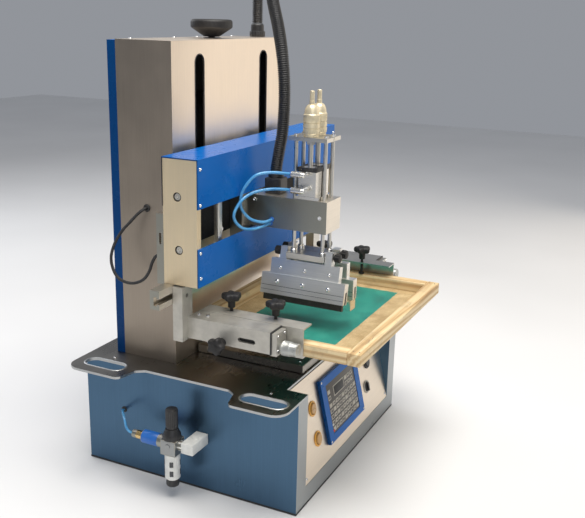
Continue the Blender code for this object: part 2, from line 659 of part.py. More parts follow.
def unit_yoke(name, x, parent):
    """Top and bottom plates tied by two guide rods, with the piston rod and its nut."""
    half_w, half_d = UNIT_W / 2, UNIT_D / 2
    top = box(name, (x - half_w, UNIT_Y - half_d, YOKE_HIGH - YOKE_T), (x + half_w, UNIT_Y + half_d, YOKE_HIGH), "aluminium", parent)
    join(top, block((x - half_w, UNIT_Y - half_d, YOKE_LOW), (x + half_w, UNIT_Y + half_d, YOKE_LOW + 0.012)),
         bar((x, UNIT_Y, YOKE_HIGH - YOKE_T - 0.007), (x, UNIT_Y, YOKE_HIGH - 0.003), 0.0092, 6),
         bar((x, UNIT_Y, 0.6535), (x, UNIT_Y, YOKE_HIGH - 0.002), 0.005, 16))
    for side in (-1, 1):
        y = UNIT_Y + side * ROD_SPAN / 2
        join(top, bar((x, y, YOKE_LOW + 0.002), (x, y, YOKE_HIGH - 0.002), ROD_R, 16))


def thimble(name, x, parent):
    """Stroke adjuster with a graduated skirt, a domed top and a thin stem."""
    profile = [(0, 0.0890), (0.0040, 0.0890), (0.0045, 0.0880), (0.0045, 0.0620), (0.0090, 0.0615), (0.0125, 0.0570),
               (0.0150, 0.0500), (0.0150, 0.0450), (0.0163, 0.0430), (0.0165, 0.0070), (0.0150, 0.0050),
               (0.0150, GAP), (0, GAP)]
    turned(name, profile, "aluminium", (x, UNIT_Y, YOKE_HIGH), sides=28, parent=parent)


def holder(name, x, lean, half_bar, parent):
    """Leaning clamp on two ears: the bar on top, and the jaws that grip the blade below."""
    at, turn = (x, UNIT_Y, PIVOT_Z), (0.0, lean, 0.0)

    def piece(low, high):
        low, high = Vector(low), Vector(high)
        middle = Matrix.Rotation(lean, 3, "Y") @ ((low + high) / 2)
        return add("guide_box", box_mesh(high - low), None, Vector(at) + middle, turn)

    low, high = Vector((-0.008, -half_bar, -0.048)), Vector((0.008, half_bar, -0.013))
    middle = Matrix.Rotation(lean, 3, "Y") @ ((low + high) / 2)
    bar_part = add(name, box_mesh(high - low), "aluminium", Vector(at) + middle, turn, parent)
    join(bar_part, piece((-0.012, -half_bar - 0.0165, -0.088), (0.008, half_bar + 0.0165, -0.045)))
    for side in (-1, 1):
        inner, outer = sorted((side * (UNIT_D / 2 + 0.0008), side * (UNIT_D / 2 + 0.016)))
        join(bar_part, piece((-0.009, inner, -0.016), (0.009, outer, 0.014)))
    cut(bar_part, piece((-0.0043, -half_bar - 0.02, -0.095), (0.0043, half_bar + 0.02, -0.062)))


def squeegee_blade(x, lean, parent):
    low, high = Vector((-0.004, -0.0885, -0.1015)), Vector((0.004, 0.0885, -0.0625))
    middle = Matrix.Rotation(lean, 3, "Y") @ ((low + high) / 2)
    add("squeegee_blade", box_mesh(high - low), "rubber", Vector((x, UNIT_Y, PIVOT_Z)) + middle, (0, lean, 0), parent)


def flood_blade(x, lean, parent):
    """Thin steel flood bar with its two ends turned up."""
    half, thick = 0.0880, 0.0016
    edge = rounded([(-half, -0.0800, 0), (-half, -0.1165, 0.006), (half, -0.1165, 0.006), (half, -0.0800, 0),
                    (half - 0.004, -0.0800, 0), (half - 0.004, -0.0625, 0), (-half + 0.004, -0.0625, 0),
                    (-half + 0.004, -0.0800, 0)], 4)
    mesh = outline_mesh([edge], thick)
    blade = add("flood_blade", mesh, "steel", (x, UNIT_Y, PIVOT_Z), ALONG_X, parent)
    for side in (-1, 1):
        end = side * half
        wing = block((x - 0.010, UNIT_Y + min(end, end - side * 0.0016), PIVOT_Z - 0.1130),
                     (x + 0.0165, UNIT_Y + max(end, end - side * 0.0016), PIVOT_Z - 0.0900))
        join(blade, wing)


def build_head(parent):
    head_axis = axis_empty("head_axis", (HEAD_X, RAIL_Y, 0.56), parent)
    head_block(head_axis)
    head_gland(head_axis)
    for index, unit, lean, half_bar in ((0, "squeegee", SQUEEGEE_LEAN, 0.0765), (1, "flood", FLOOD_LEAN, 0.0765)):
        x = unit_x(index)
        unit_cylinder(unit + "_cylinder", x, head_axis)
        lift_axis = axis_empty(unit + "_lift_axis", (x, UNIT_Y, 0.6), head_axis)
        unit_yoke(unit + "_yoke", x, lift_axis)
        thimble(unit + "_thimble", x, lift_axis)
        tilt_axis = axis_empty(unit + "_tilt_axis", (x, UNIT_Y, PIVOT_Z), lift_axis)
        holder(unit + "_holder", x, lean, half_bar, tilt_axis)
        if unit == "squeegee":
            squeegee_blade(x, lean, tilt_axis)
        else:
            flood_blade(x, lean, tilt_axis)
    hose("air_tube_upper", UPPER_TUBE, TUBE_D, "air_tube", 2, head_axis)
    hose("air_tube_lower", LOWER_TUBE, TUBE_D, "air_tube", 2, head_axis)


# ---------------------------------------------------------------- screen arms
def lobed_outline(radius, lobes, depth, points=40):
    angles = [2 * math.pi * k / points for k in range(points)]
    radii = [radius - depth * (1 - math.cos(lobes * a)) / 2 for a in angles]
    return [(r * math.cos(a), r * math.sin(a)) for r, a in zip(radii, angles)]


def star_knob(name, x, y, parent):
    """Five-lobed clamping knob with its hub and the stud that presses on the screen frame."""
    seat = CHANNEL_HIGH
    profile = [(0, 0.0250), (0.0078, 0.0250), (0.0072, 0.0070), (0.0030, 0.0070), (0.0030, -0.0260),
               (0.0065, -0.0262), (0.0065, -0.0298), (0, -0.0298)]
    knob = turned(name, profile, "black_plastic", (x, y, seat), sides=20, parent=parent)
    head = add("guide_star", outline_mesh([lobed_outline(0.0205, 5, 0.0060)], 0.0135), None, (x, y, seat + 0.0295))
    join(knob, head)


def frame_channel(name, side, parent):
    web, lip = side * WEB_X, side * (WEB_X - CHANNEL_W)
    low_x, high_x = min(web, lip), max(web, lip)
    channel = box(name, (low_x, CHANNEL_FRONT, CHANNEL_LOW), (high_x, CHANNEL_BACK, CHANNEL_HIGH), "aluminium", parent)
    inner_web, past_lip = side * (WEB_X - CHANNEL_T), side * (WEB_X - CHANNEL_W - 0.01)
    cut(channel, block((min(inner_web, past_lip), CHANNEL_FRONT - 0.01, CHANNEL_LOW + CHANNEL_T),
                       (max(inner_web, past_lip), CHANNEL_BACK + 0.01, CHANNEL_HIGH - CHANNEL_T)))
    for y in KNOB_YS.values():
        cut(channel, bar((side * KNOB_X, y, CHANNEL_HIGH - 0.01), (side * KNOB_X, y, CHANNEL_HIGH + 0.01), 0.0044, 16))


def screen_arm(name, side, parent):
    """Bracket on the T-slotted bar, the box arm that hangs from it and its end block."""
    outer = WEB_X + GAP + ARM_W
    near, far = side * (WEB_X + GAP), side * outer
    arm = box(name, (min(near, far), ARM_FRONT, ARM_LOW), (max(near, far), BRACKET_FRONT + 0.001, ARM_HIGH), "aluminium", parent)
    edge_a, edge_b = side * BRACKET_IN, side * BRACKET_OUT
    end_a, end_b = side * (WEB_X + GAP + 0.002), side * (outer - 0.003)
    join(arm, block((min(edge_a, edge_b), BRACKET_FRONT, BRACKET_LOW), (max(edge_a, edge_b), BAR_FRONT - GAP, BAR_HIGH - 0.003)),
         block((min(end_a, end_b), ARM_FRONT - 0.0125, ARM_LOW - 0.003), (max(end_a, end_b), ARM_FRONT + 0.001, ARM_HIGH - 0.003)))
    groove = sorted((side * (outer + 0.01), side * (outer - 0.008)))
    slot = outline_mesh([rounded([(-0.166, 0.3510, 0.0044), (-0.129, 0.3510, 0.0044), (-0.129, 0.3600, 0.0044), (-0.166, 0.3600, 0.0044)], 4)], 0.018)
    cut(arm, add("guide_slot", slot, None, (sum(groove) / 2, 0, 0), ALONG_X),
        bar((side * 0.303, BRACKET_FRONT - 0.01, 0.4257), (side * 0.303, BRACKET_FRONT + 0.008, 0.4257), 0.0042, 16))


def adjuster(name, side, parent):
    """Knurled knob that shifts the channel along the arm."""
    profile = [(0, 0.0365), (0.0120, 0.0365), (0.0135, 0.0350), (0.0135, 0.0220), (0.0145, 0.0205),
               (0.0145, 0.0040), (0.0100, 0.0030), (0.0100, GAP), (0, GAP)]
    turned(name, profile, "steel", (side * (WEB_X + ARM_W / 2), ARM_FRONT - 0.0125, ADJUSTER_Z), ALONG_Y, 28, parent)


def build_arms(parent):
    for word, side in (("left", -1), ("right", 1)):
        arm_axis = axis_empty(word + "_arm_axis", (side * 0.28, 0.0, 0.4257), parent)
        screen_arm(word + "_arm", side, arm_axis)
        adjuster(word + "_adjuster", side, arm_axis)
        channel_axis = axis_empty(word + "_channel_axis", (side * KNOB_X, -0.12, 0.36), arm_axis)
        frame_channel(word + "_channel", side, channel_axis)
        for place, y in KNOB_YS.items():
            star_knob(word + "_knob_" + place, side * KNOB_X, y, channel_axis)


def build_screen(parent):
    """The wooden screen frame and the mesh that closes its underside."""
    screen_axis = axis_empty("screen_axis", (0, -0.16, 0.34), parent)
    frame = box("screen_frame", (-FRAME_X, FRAME_FRONT, FRAME_LOW), (FRAME_X, FRAME_BACK, FRAME_HIGH), "wood", screen_axis)
    inner = (FRAME_X - RAIL_W, FRAME_FRONT + RAIL_W, FRAME_BACK - RAIL_W)
    cut(frame, block((-inner[0], inner[1], FRAME_LOW - 0.01), (inner[0], inner[2], FRAME_HIGH + 0.01)))
    box("screen_mesh", (-inner[0] + GAP, inner[1] + GAP, FRAME_LOW + 0.0004), (inner[0] - GAP, inner[2] - GAP, FRAME_LOW + 0.0014),
        "mesh_fabric", screen_axis)


# ---------------------------------------------------------------- air supply on the cabinet's side
def air_filter():
    """Filter regulator with its inlet coupling and the block that carries it on the cabinet wall."""
    wall = -BASE_W / 2 - GAP
    body = turned("air_filter_body", [(0, 0.1525), (0.0105, 0.1525), (0.0125, 0.1490), (0.0170, 0.1400), (0.0185, 0.1340),
                                      (0.0185, 0.1300), (0, 0.1300)], "aluminium", (FILTER_X, FILTER_Y, 0), sides=24)
    inlet, fitting = FILTER_Y + 0.016, 0.0705
    join(body, block((FILTER_X - 0.017, FILTER_Y - 0.017, 0.0985), (FILTER_X + 0.017, FILTER_Y + 0.017, 0.1305)),
         bar((FILTER_X, inlet, PORT_Z), (FILTER_X, fitting, PORT_Z), 0.0135, 24),
         bar((FILTER_X, fitting - 0.002, PORT_Z), (FILTER_X, 0.0960, PORT_Z), 0.0085, 16),
         block((FILTER_X - 0.0085, -0.050, PORT_Z - 0.011), (wall, -0.023, PORT_Z + 0.011)),
         bar((FILTER_X, -0.024, PORT_Z), (FILTER_X, FILTER_Y, PORT_Z), 0.0095, 20))
    turned("air_filter_bowl", [(0, 0.0980), (0.0145, 0.0980), (0.0157, 0.0960), (0.0157, 0.0440), (0.0120, 0.0405),
                               (0.0120, 0.0300), (0.0085, 0.0270), (0.0050, 0.0262), (0, 0.0262)],
           "white_plastic", (FILTER_X, FILTER_Y, 0), sides=24)
    turned("regulator_knob", [(0, 0.1950), (0.0105, 0.1950), (0.0122, 0.1930), (0.0125, 0.1560), (0.0118, 0.1530), (0, 0.1530)],
           "black_plastic", (FILTER_X, FILTER_Y, 0), sides=24)
    hose("supply_tube", SUPPLY_TUBE, SUPPLY_D, "air_tube", 2)


# ---------------------------------------------------------------- assembly
def build():
    build_cabinet()
    beam_axis = axis_empty("beam_axis", (0, SHAFT_Y, 0.56))
    build_column(beam_axis)
    build_beam(beam_axis)
    build_head(beam_axis)
    build_arms(beam_axis)
    build_screen(beam_axis)
    air_filter()
    hose("conduit_fixed", CONDUIT_FIXED, CONDUIT_D, "rubber", 3)
    hose("conduit_moving", CONDUIT_MOVING, CONDUIT_D, "rubber", 3)
    hose("sensor_cable", SENSOR_CABLE, CABLE_D, "rubber", 2)


build()
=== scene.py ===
"""Looks of the table-top pneumatic screen printer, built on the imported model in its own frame."""

import math

import bmesh
import bpy
from mathutils import Matrix, Vector


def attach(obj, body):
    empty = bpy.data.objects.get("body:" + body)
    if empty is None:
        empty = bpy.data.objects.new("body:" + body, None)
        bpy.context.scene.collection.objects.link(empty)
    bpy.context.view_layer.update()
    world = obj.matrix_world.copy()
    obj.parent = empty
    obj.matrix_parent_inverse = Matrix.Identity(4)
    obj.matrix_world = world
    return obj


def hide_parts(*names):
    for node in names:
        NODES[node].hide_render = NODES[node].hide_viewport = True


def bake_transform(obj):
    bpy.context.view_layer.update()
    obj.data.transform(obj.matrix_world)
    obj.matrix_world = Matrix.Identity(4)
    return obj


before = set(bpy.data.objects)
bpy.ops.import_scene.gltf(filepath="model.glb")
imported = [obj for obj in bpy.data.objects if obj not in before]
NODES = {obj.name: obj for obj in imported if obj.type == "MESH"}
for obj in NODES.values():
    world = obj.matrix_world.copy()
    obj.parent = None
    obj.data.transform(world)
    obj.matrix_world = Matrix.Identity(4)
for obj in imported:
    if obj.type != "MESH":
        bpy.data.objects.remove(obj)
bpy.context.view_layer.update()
UP = Vector((0, 0, 1))
X, Y, Z = Vector((1, 0, 0)), Vector((0, 1, 0)), Vector((0, 0, 1))
SIDES = (("left", -1), ("right", 1))
UNITS = (("squeegee", -0.0892), ("flood", -0.0542))       # the head's two lifting units and their X
HAND_HOLE_X, SLOT_X = 0.3045, 0.1355                      # middles of the plate's holes and column's slots
ADJUSTER_AT = (0.2777, -0.2095, 0.347)                    # the right one; the left one is its mirror
ROD_Y = -0.173                                            # where the units' rods stand


# ---- camera
def place_camera():
    """The viewing angle: from the operator's left, a little above the machine."""
    yaw, pitch, roll = math.radians(-64.541), math.radians(16.097), math.radians(1.36)
    look = Vector((-math.sin(yaw) * math.cos(pitch), math.cos(yaw) * math.cos(pitch), -math.sin(pitch)))
    right = look.cross(UP).normalized()
    up = right.cross(look)
    side = right * math.cos(roll) + up * math.sin(roll)
    above = up * math.cos(roll) - right * math.sin(roll)
    data = bpy.data.cameras.new("camera")
    data.lens = 52.26
    data.sensor_width = 36.0
    camera = bpy.data.objects.new("camera", data)
    bpy.context.scene.collection.objects.link(camera)
    turn = Matrix((side, above, -look)).transposed().to_4x4()
    camera.matrix_world = Matrix.Translation((-1.6086, -0.8621, 0.9476)) @ turn
    bpy.context.scene.camera = camera


place_camera()


# ---- materials
class Look:
    """A Principled material with helpers for its procedural nodes."""

    def __init__(self, name, colour, rough, metal=0.0, **sockets):
        self.mat = bpy.data.materials.new(name)
        self.mat.use_nodes = True
        self.tree = self.mat.node_tree
        self.shader = self.tree.nodes["Principled BSDF"]
        self.set("Base Color", (*colour, 1))
        self.set("Roughness", rough)
        self.set("Metallic", metal)
        for key, value in sockets.items():
            self.set(key.replace("_", " "), value)
        self.place = self.node("ShaderNodeTexCoord").outputs["Object"]

    def set(self, socket, value):
        self.shader.inputs[socket].default_value = value

    def link(self, out, into):
        self.tree.links.new(out, into)

    def feed(self, socket, value):
        """Links a node's output to a socket, or sets the socket to a number, vector or colour."""
        if isinstance(value, bpy.types.NodeSocket):
            self.link(value, socket)
        else:
            socket.default_value = (*value, 1) if socket.type == "RGBA" else value

    def node(self, kind, **inputs):
        made = self.tree.nodes.new(kind)
        for key, value in inputs.items():
            self.feed(made.inputs[key.replace("_", " ")], value)
        return made

    def scaled(self, scale, offset=(0, 0, 0)):
        made = self.node("ShaderNodeMapping", Vector=self.place, Scale=scale, Location=offset)
        return made.outputs["Vector"]

    def noise(self, scale, detail=3.0, rough=0.55, offset=(0, 0, 0)):
        if not hasattr(scale, "__len__"):
            scale = (scale,) * 3
        return self.node("ShaderNodeTexNoise", Vector=self.scaled(scale, offset), Scale=1.0, Detail=detail,
                         Roughness=rough).outputs["Fac"]

    def ramp(self, fac, *stops):
        """Colour ramp; each stop is (position, grey or (r, g, b))."""
        made = self.node("ShaderNodeValToRGB", Fac=fac)
        elements = made.color_ramp.elements
        while len(elements) < len(stops):
            elements.new(0.5)
        for element, (at, value) in zip(elements, stops):
            element.position = at
            rgb = value if hasattr(value, "__len__") else (value,) * 3
            element.color = (*rgb, 1)
        return made.outputs["Color"]

    def maths(self, kind, a, b=0.5):
        made = self.tree.nodes.new("ShaderNodeMath")
        made.operation = kind
        for socket, value in zip(made.inputs, (a, b)):
            self.feed(socket, value)
        return made.outputs[0]

    def mix(self, fac, a, b, blend="MIX"):
        made = self.tree.nodes.new("ShaderNodeMix")
        made.data_type = "RGBA"
        made.blend_type = blend
        for socket, value in zip((made.inputs[0], made.inputs[6], made.inputs[7]), (fac, a, b)):
            self.feed(socket, value)
        return made.outputs[2]

    def colour(self, out):
        self.link(out, self.shader.inputs["Base Color"])
        return self

    def roughness(self, out):
        self.link(out, self.shader.inputs["Roughness"])
        return self

    def bump(self, height, depth):
        made = self.node("ShaderNodeBump", Height=height, Strength=1.0, Distance=depth)
        previous = self.shader.inputs["Normal"].links
        if previous:
            self.link(previous[0].from_socket, made.inputs["Normal"])
        self.link(made.outputs["Normal"], self.shader.inputs["Normal"])
        return self

    def axis(self, name, out=None):
        """One coordinate, of the object's position unless another vector is given."""
        return self.node("ShaderNodeSeparateXYZ", Vector=out or self.place).outputs[name]

    def shade_x_faces(self, base, tone):
        """Painted shade: the base colour, multiplied by a darker tone on the faces that look along X."""
        normal = self.node("ShaderNodeTexCoord").outputs["Normal"]
        facing = self.maths("ABSOLUTE", self.axis("X", normal))
        return self.mix(1.0, base, self.ramp(facing, (0.45, 1.0), (0.75, tone)), "MULTIPLY")


def drawn(axis, across, along):
    """Noise scale on X, Y and Z, with a value of its own along one axis."""
    return [along if name == axis else across for name in "XYZ"]


def tinted(colour, factor, lift=0.0):
    return tuple(min(1, c * factor + lift) for c in colour)


def metal(name, colour, rough, along, spread=0.06, grain=700, depth=0.00002, marks=0.1, high=0.0, side=None):
    """Brushed metal: fine grain drawn along one axis and faint smudges. high adds slow waves to the
    sheet, and side is a painted shade multiplied onto the faces that look along X."""
    look = Look(name, colour, rough, 1.0)
    lines = look.noise(drawn(along, grain, grain / 60), 4, 0.65)
    smudge = look.noise(9, 4, 0.6, (3, 1, 7))
    shade = look.ramp(lines, (0.25, tinted(colour, 1 - spread)), (0.75, tinted(colour, 1 + spread)))
    stain = look.ramp(smudge, (0.35, 1 - marks * 0.7), (0.62, 1.0))
    # painted shade on the faces that look along X
    if side:
        shade = look.shade_x_faces(shade, side)
    look.colour(look.mix(1.0, shade, stain, "MULTIPLY"))
    wide = look.ramp(smudge, (0.3, max(0.02, rough - marks)), (0.7, rough + marks))
    narrow = look.ramp(lines, (0.2, 0.88), (0.8, 1.12))
    look.roughness(look.mix(1.0, wide, narrow, "MULTIPLY"))
    look.bump(lines, depth)
    if high:
        look.bump(look.noise(2.2, 1, 0.4), high)
    return look


def plastic(name, colour, rough, grain=0.00003, size=900, dust=0.0, **sockets):
    """Moulded plastic: fine texture, slight tone changes and a little dust."""
    look = Look(name, colour, rough, 0.0, **sockets)
    tone = look.noise(40, 4, 0.6)
    base = look.ramp(tone, (0.3, tinted(colour, 0.86)), (0.7, tinted(colour, 1.12, 0.002)))
    if dust:
        powder = look.ramp(look.noise(160, 5, 0.75, (2, 5, 1)), (0.5, 0.0), (0.85, dust))
        base = look.mix(powder, base, (0.42, 0.4, 0.38))
    look.colour(base)
    look.roughness(look.ramp(tone, (0.3, max(0.03, rough - 0.06)), (0.7, rough + 0.07)))
    look.bump(look.noise(size, 2, 0.5), grain)
    return look


def blue_gloss():
    """Gloss paint with scuffs, and painted shade darkening the faces that look along X."""
    look = Look("gloss_blue_paint", (0.001, 0.115, 0.43), 0.3, 0.0, Specular_IOR_Level=0.14)
    tone = look.noise(3.5, 3, 0.5)
    base = look.ramp(tone, (0.3, (0.0005, 0.1, 0.39)), (0.7, (0.0015, 0.13, 0.47)))
    scuff = look.ramp(look.noise((60, 60, 420), 5, 0.7, (4, 2, 9)), (0.7, 0.0), (0.82, 0.3))
    # painted shade: faces that look along X are multiplied by 0.42
    look.colour(look.mix(scuff, look.shade_x_faces(base, 0.42), (0.06, 0.2, 0.5)))
    look.roughness(look.ramp(look.noise(14, 4, 0.6, (1, 8, 2)), (0.3, 0.22), (0.7, 0.36)))
    look.bump(look.noise(420, 2, 0.5), 0.00005)
    return look


def pale_wood(name, along):
    """Worn pale softwood: grain along one axis, knots, grime and old ink."""
    look = Look(name, (0.62, 0.45, 0.26), 0.62)
    warp = look.noise(drawn(along, 26.0, 2.2), 4, 0.6)
    rings = look.tree.nodes.new("ShaderNodeTexWave")
    rings.wave_type = "BANDS"
    rings.bands_direction = "DIAGONAL"
    look.link(look.scaled(drawn(along, 34.0, 1.4)), rings.inputs["Vector"])
    for key, value in (("Scale", 1.0), ("Distortion", 7.0), ("Detail", 3.0), ("Detail Scale", 1.3)):
        rings.inputs[key].default_value = value
    banded = look.maths("MULTIPLY", rings.outputs["Fac"], 0.55)
    grain = look.maths("ADD", banded, look.maths("MULTIPLY", warp, 0.6))
    base = look.ramp(grain, (0.18, (0.36, 0.235, 0.115)), (0.42, (0.58, 0.42, 0.235)),
                     (0.85, (0.76, 0.61, 0.4)))
    threads = look.noise(drawn(along, 900.0, 14.0), 3, 0.6)
    fibre = look.ramp(threads, (0.3, (0.33, 0.24, 0.13)), (0.6, (0.82, 0.7, 0.5)))
    base = look.mix(0.35, base, fibre, "OVERLAY")
    grime = look.ramp(look.noise(17, 5, 0.72, (5, 3, 2)), (0.52, 0.0), (0.78, 0.55))
    base = look.mix(grime, base, (0.2, 0.155, 0.1))
    ink = look.ramp(look.noise(48, 4, 0.8, (1, 9, 4)), (0.7, 0.0), (0.74, 0.7))
    base = look.mix(ink, base, (0.05, 0.16, 0.13))
    cracks = look.ramp(look.noise(drawn(along, 160.0, 5.0), 4, 0.7, (3, 1, 7)), (0.3, 0.85), (0.36, 0.0))
    look.colour(look.mix(cracks, base, (0.07, 0.045, 0.025)))
    look.roughness(look.ramp(grain, (0.2, 0.72), (0.9, 0.5)))
    look.bump(threads, 0.00012)
    look.bump(grain, 0.00025)
    return look


MESH_PRINT = (-0.193, 0.201, -0.2745, -0.052)      # the coated area: low x, high x, low y, high y
WEAVE_PERIOD = 0.0011                              # the width of two threads


def screen_cloth():
    """Open polyester weave, coated teal over the image area, with a cream band around it."""
    look = Look("screen_cloth", (0.03, 0.3, 0.24), 0.5)
    x, y = look.axis("X"), look.axis("Y")
    ragged = look.maths("MULTIPLY", look.maths("SUBTRACT", look.noise(55, 4, 0.6), 0.5), 0.006)
    inside = 1.0
    for coordinate, low, high in ((x, *MESH_PRINT[:2]), (y, *MESH_PRINT[2:])):
        shifted = look.maths("ADD", coordinate, ragged)
        for edge, kind in ((low, "GREATER_THAN"), (high, "LESS_THAN")):
            inside = look.maths("MULTIPLY", look.maths(kind, shifted, edge), inside)
    weave = []
    for coordinate in (x, y):
        wave = look.maths("SINE", look.maths("MULTIPLY", coordinate, 2 * math.pi / WEAVE_PERIOD))
        weave.append(look.maths("ABSOLUTE", wave))
    threads = look.maths("MAXIMUM", *weave)
    patch = look.noise(11, 5, 0.65)
    teal = look.ramp(patch, (0.3, (0.012, 0.175, 0.15)), (0.55, (0.022, 0.29, 0.225)),
                     (0.8, (0.075, 0.43, 0.33)))
    cream = look.ramp(look.noise(24, 5, 0.7), (0.3, (0.44, 0.3, 0.14)), (0.7, (0.72, 0.55, 0.3)))
    cloth = look.mix(inside, cream, teal)
    look.colour(look.mix(0.55, cloth, look.ramp(threads, (0.2, 0.45), (0.9, 1.0)), "MULTIPLY"))
    look.roughness(look.ramp(patch, (0.3, 0.34), (0.7, 0.58)))
    look.bump(threads, 0.00012)
    return look


def clear_blue_tube():
    look = Look("blue_air_tube", (0.1, 0.42, 0.8), 0.18, 0.0, Transmission_Weight=0.25, IOR=1.48,
                Coat_Weight=0.3)
    look.colour(look.ramp(look.noise(50, 3, 0.5), (0.3, (0.06, 0.34, 0.72)), (0.7, (0.16, 0.52, 0.88))))
    look.roughness(look.ramp(look.noise(90, 3, 0.5), (0.3, 0.14), (0.7, 0.26)))
    return look


def top_plate_metal():
    """Dark polished plate with a painted highlight: its upright edge faces are mixed to a pale grey."""
    look = metal("polished_plate", (0.26, 0.245, 0.225), 0.3, "X", 0.06, 500, 0.00001, 0.09)
    # painted highlight: faces that do not look up or down take a flat pale grey
    flat = look.maths("ABSOLUTE", look.axis("Z", look.node("ShaderNodeNewGeometry").outputs["Normal"]))
    source = look.shader.inputs["Base Color"].links[0].from_socket
    look.colour(look.mix(look.ramp(flat, (0.4, 1.0), (0.8, 0.0)), source, (0.42, 0.43, 0.43)))
    return look


def keypad_film():
    """Printed membrane: a warm grey field with a fine tooth."""
    look = Look("keypad_film", (0.13, 0.12, 0.105), 0.45, 0.0)
    tone = look.noise(30, 4, 0.6)
    look.colour(look.ramp(tone, (0.3, (0.06, 0.056, 0.05)), (0.7, (0.09, 0.084, 0.075))))
    look.roughness(look.ramp(tone, (0.3, 0.32), (0.7, 0.46)))
    look.bump(look.noise(1400, 2, 0.5), 0.00003)
    return look


# The last colour given to brushed_side_steel, brushed_column_steel and machined_aluminium is painted shade
# on their faces that look along X; the blue one on brushed_side_steel is also a painted blue reflection.
SIDE_STEEL = metal("brushed_side_steel", (0.38, 0.4, 0.41), 0.36, "Z", 0.07, 520, 0.00002, 0.09, 0.0006,
                   (0.2, 0.36, 0.56)).mat
COLUMN_STEEL = metal("brushed_column_steel", (0.86, 0.75, 0.63), 0.38, "Z", 0.06, 560, 0.00002, 0.08,
                     0.0005, (0.44, 0.43, 0.42)).mat
PANEL_STEEL = metal("brushed_panel_steel", (0.74, 0.65, 0.54), 0.34, "X", 0.06, 560, 0.00002, 0.07).mat
BED_ALLOY = metal("ground_bed", (0.3, 0.28, 0.25), 0.34, "X", 0.06, 560, 0.00002, 0.09).mat
PLATE = top_plate_metal().mat
ALLOY = metal("machined_aluminium", (0.82, 0.76, 0.67), 0.36, "X", 0.05, 480, 0.00002, 0.07, 0.0,
              (0.42, 0.45, 0.45)).mat
ALLOY_Y = metal("machined_aluminium_long", (0.66, 0.64, 0.59), 0.32, "Y", 0.06, 480, 0.00002, 0.07).mat
END_ALLOY = metal("satin_end_plate", (0.84, 0.71, 0.5), 0.5, "Z", 0.04, 420, 0.00002, 0.06).mat
SATIN = metal("satin_aluminium", (0.8, 0.79, 0.76), 0.27, "Z", 0.03, 900, 0.00001, 0.06).mat
FILTER_GREY = metal("cast_filter_body", (0.34, 0.35, 0.35), 0.42, "Z", 0.05, 700, 0.00003, 0.08).mat
CREAM = plastic("cream_anodised", (0.72, 0.63, 0.44), 0.36, 0.00001, 900, 0.01, Metallic=0.5).mat
BLADE = metal("holder_aluminium", (0.88, 0.88, 0.85), 0.4, "Y", 0.06, 480, 0.00002, 0.07).mat
SHEET = plastic("satin_sheet", (0.5, 0.48, 0.43), 0.36, 0.00001, 600, 0.01, Metallic=0.55).mat
ADJUSTER = plastic("satin_adjuster", (0.46, 0.47, 0.45), 0.36, 0.00001, 700, 0.01, Metallic=0.6).mat
RIM = metal("rolled_rim", (0.46, 0.47, 0.47), 0.42, "Y", 0.05, 700, 0.00001, 0.06).mat
BRIGHT = metal("bright_steel", (0.8, 0.8, 0.8), 0.14, "Z", 0.03, 700, 0.00001, 0.05).mat
BRASS = metal("brass", (0.72, 0.52, 0.24), 0.28, "Y", 0.05, 700, 0.00001, 0.07).mat
# Flat black for painted shade: sheets and rings set in gaps, slots and recesses that are in shade.
SHADE_BLACK = plastic("painted_shade_black", (0.016, 0.015, 0.014), 0.7, 0.00003, 500, 0.1).mat
DARK_STEEL = metal("blackened_steel", (0.09, 0.09, 0.1), 0.38, "Z", 0.1, 500, 0.00002, 0.1).mat
BLUE = blue_gloss().mat
BLACK = plastic("black_plastic", (0.018, 0.018, 0.019), 0.4, 0.00004, 900, 0.1).mat
KNOB_BLACK = plastic("black_knob", (0.01, 0.009, 0.009), 0.55, 0.00002, 1200, 0.05).mat
RUBBER = plastic("black_rubber", (0.02, 0.02, 0.021), 0.62, 0.00006, 600, 0.16).mat
HOSE = plastic("corrugated_hose", (0.012, 0.012, 0.013), 0.42, 0.00003, 800, 0.06).mat
AMBER = plastic("amber_button", (0.5, 0.27, 0.07), 0.28, 0.00001, 700, 0.05, Coat_Weight=0.3).mat
AMBER_RING = plastic("amber_bezel", (0.8, 0.4, 0.05), 0.3, 0.00001, 700, 0.05, Coat_Weight=0.3).mat
RED_LAMP = plastic("red_lamp", (0.75, 0.05, 0.03), 0.2, 0.00001, 700, 0.0, Coat_Weight=0.3).mat
WHITE = plastic("white_guard", (0.78, 0.78, 0.74), 0.34, 0.00002, 800, 0.05, Coat_Weight=0.2).mat
COUPLING = plastic("blue_coupling", (0.02, 0.14, 0.5), 0.34, 0.00002, 800, 0.05).mat
SMOKE = plastic("smoked_window", (0.03, 0.035, 0.04), 0.1, 0.00001, 500, 0.0, Coat_Weight=0.6).mat
FILM = keypad_film().mat
KEYS = plastic("keypad_keys", (0.5, 0.47, 0.41), 0.6, 0.00001, 900, 0.04).mat
GLASS = plastic("display_window", (0.01, 0.012, 0.014), 0.55, 0.000005, 500, 0.0).mat
TUBE = clear_blue_tube().mat
CLOTH = screen_cloth().mat
WOOD_X, WOOD_Y = pale_wood("wood_across", "X").mat, pale_wood("wood_along", "Y").mat
SQUEEGEE = plastic("squeegee_rubber", (0.035, 0.032, 0.026), 0.45, 0.00003, 500, 0.08).mat

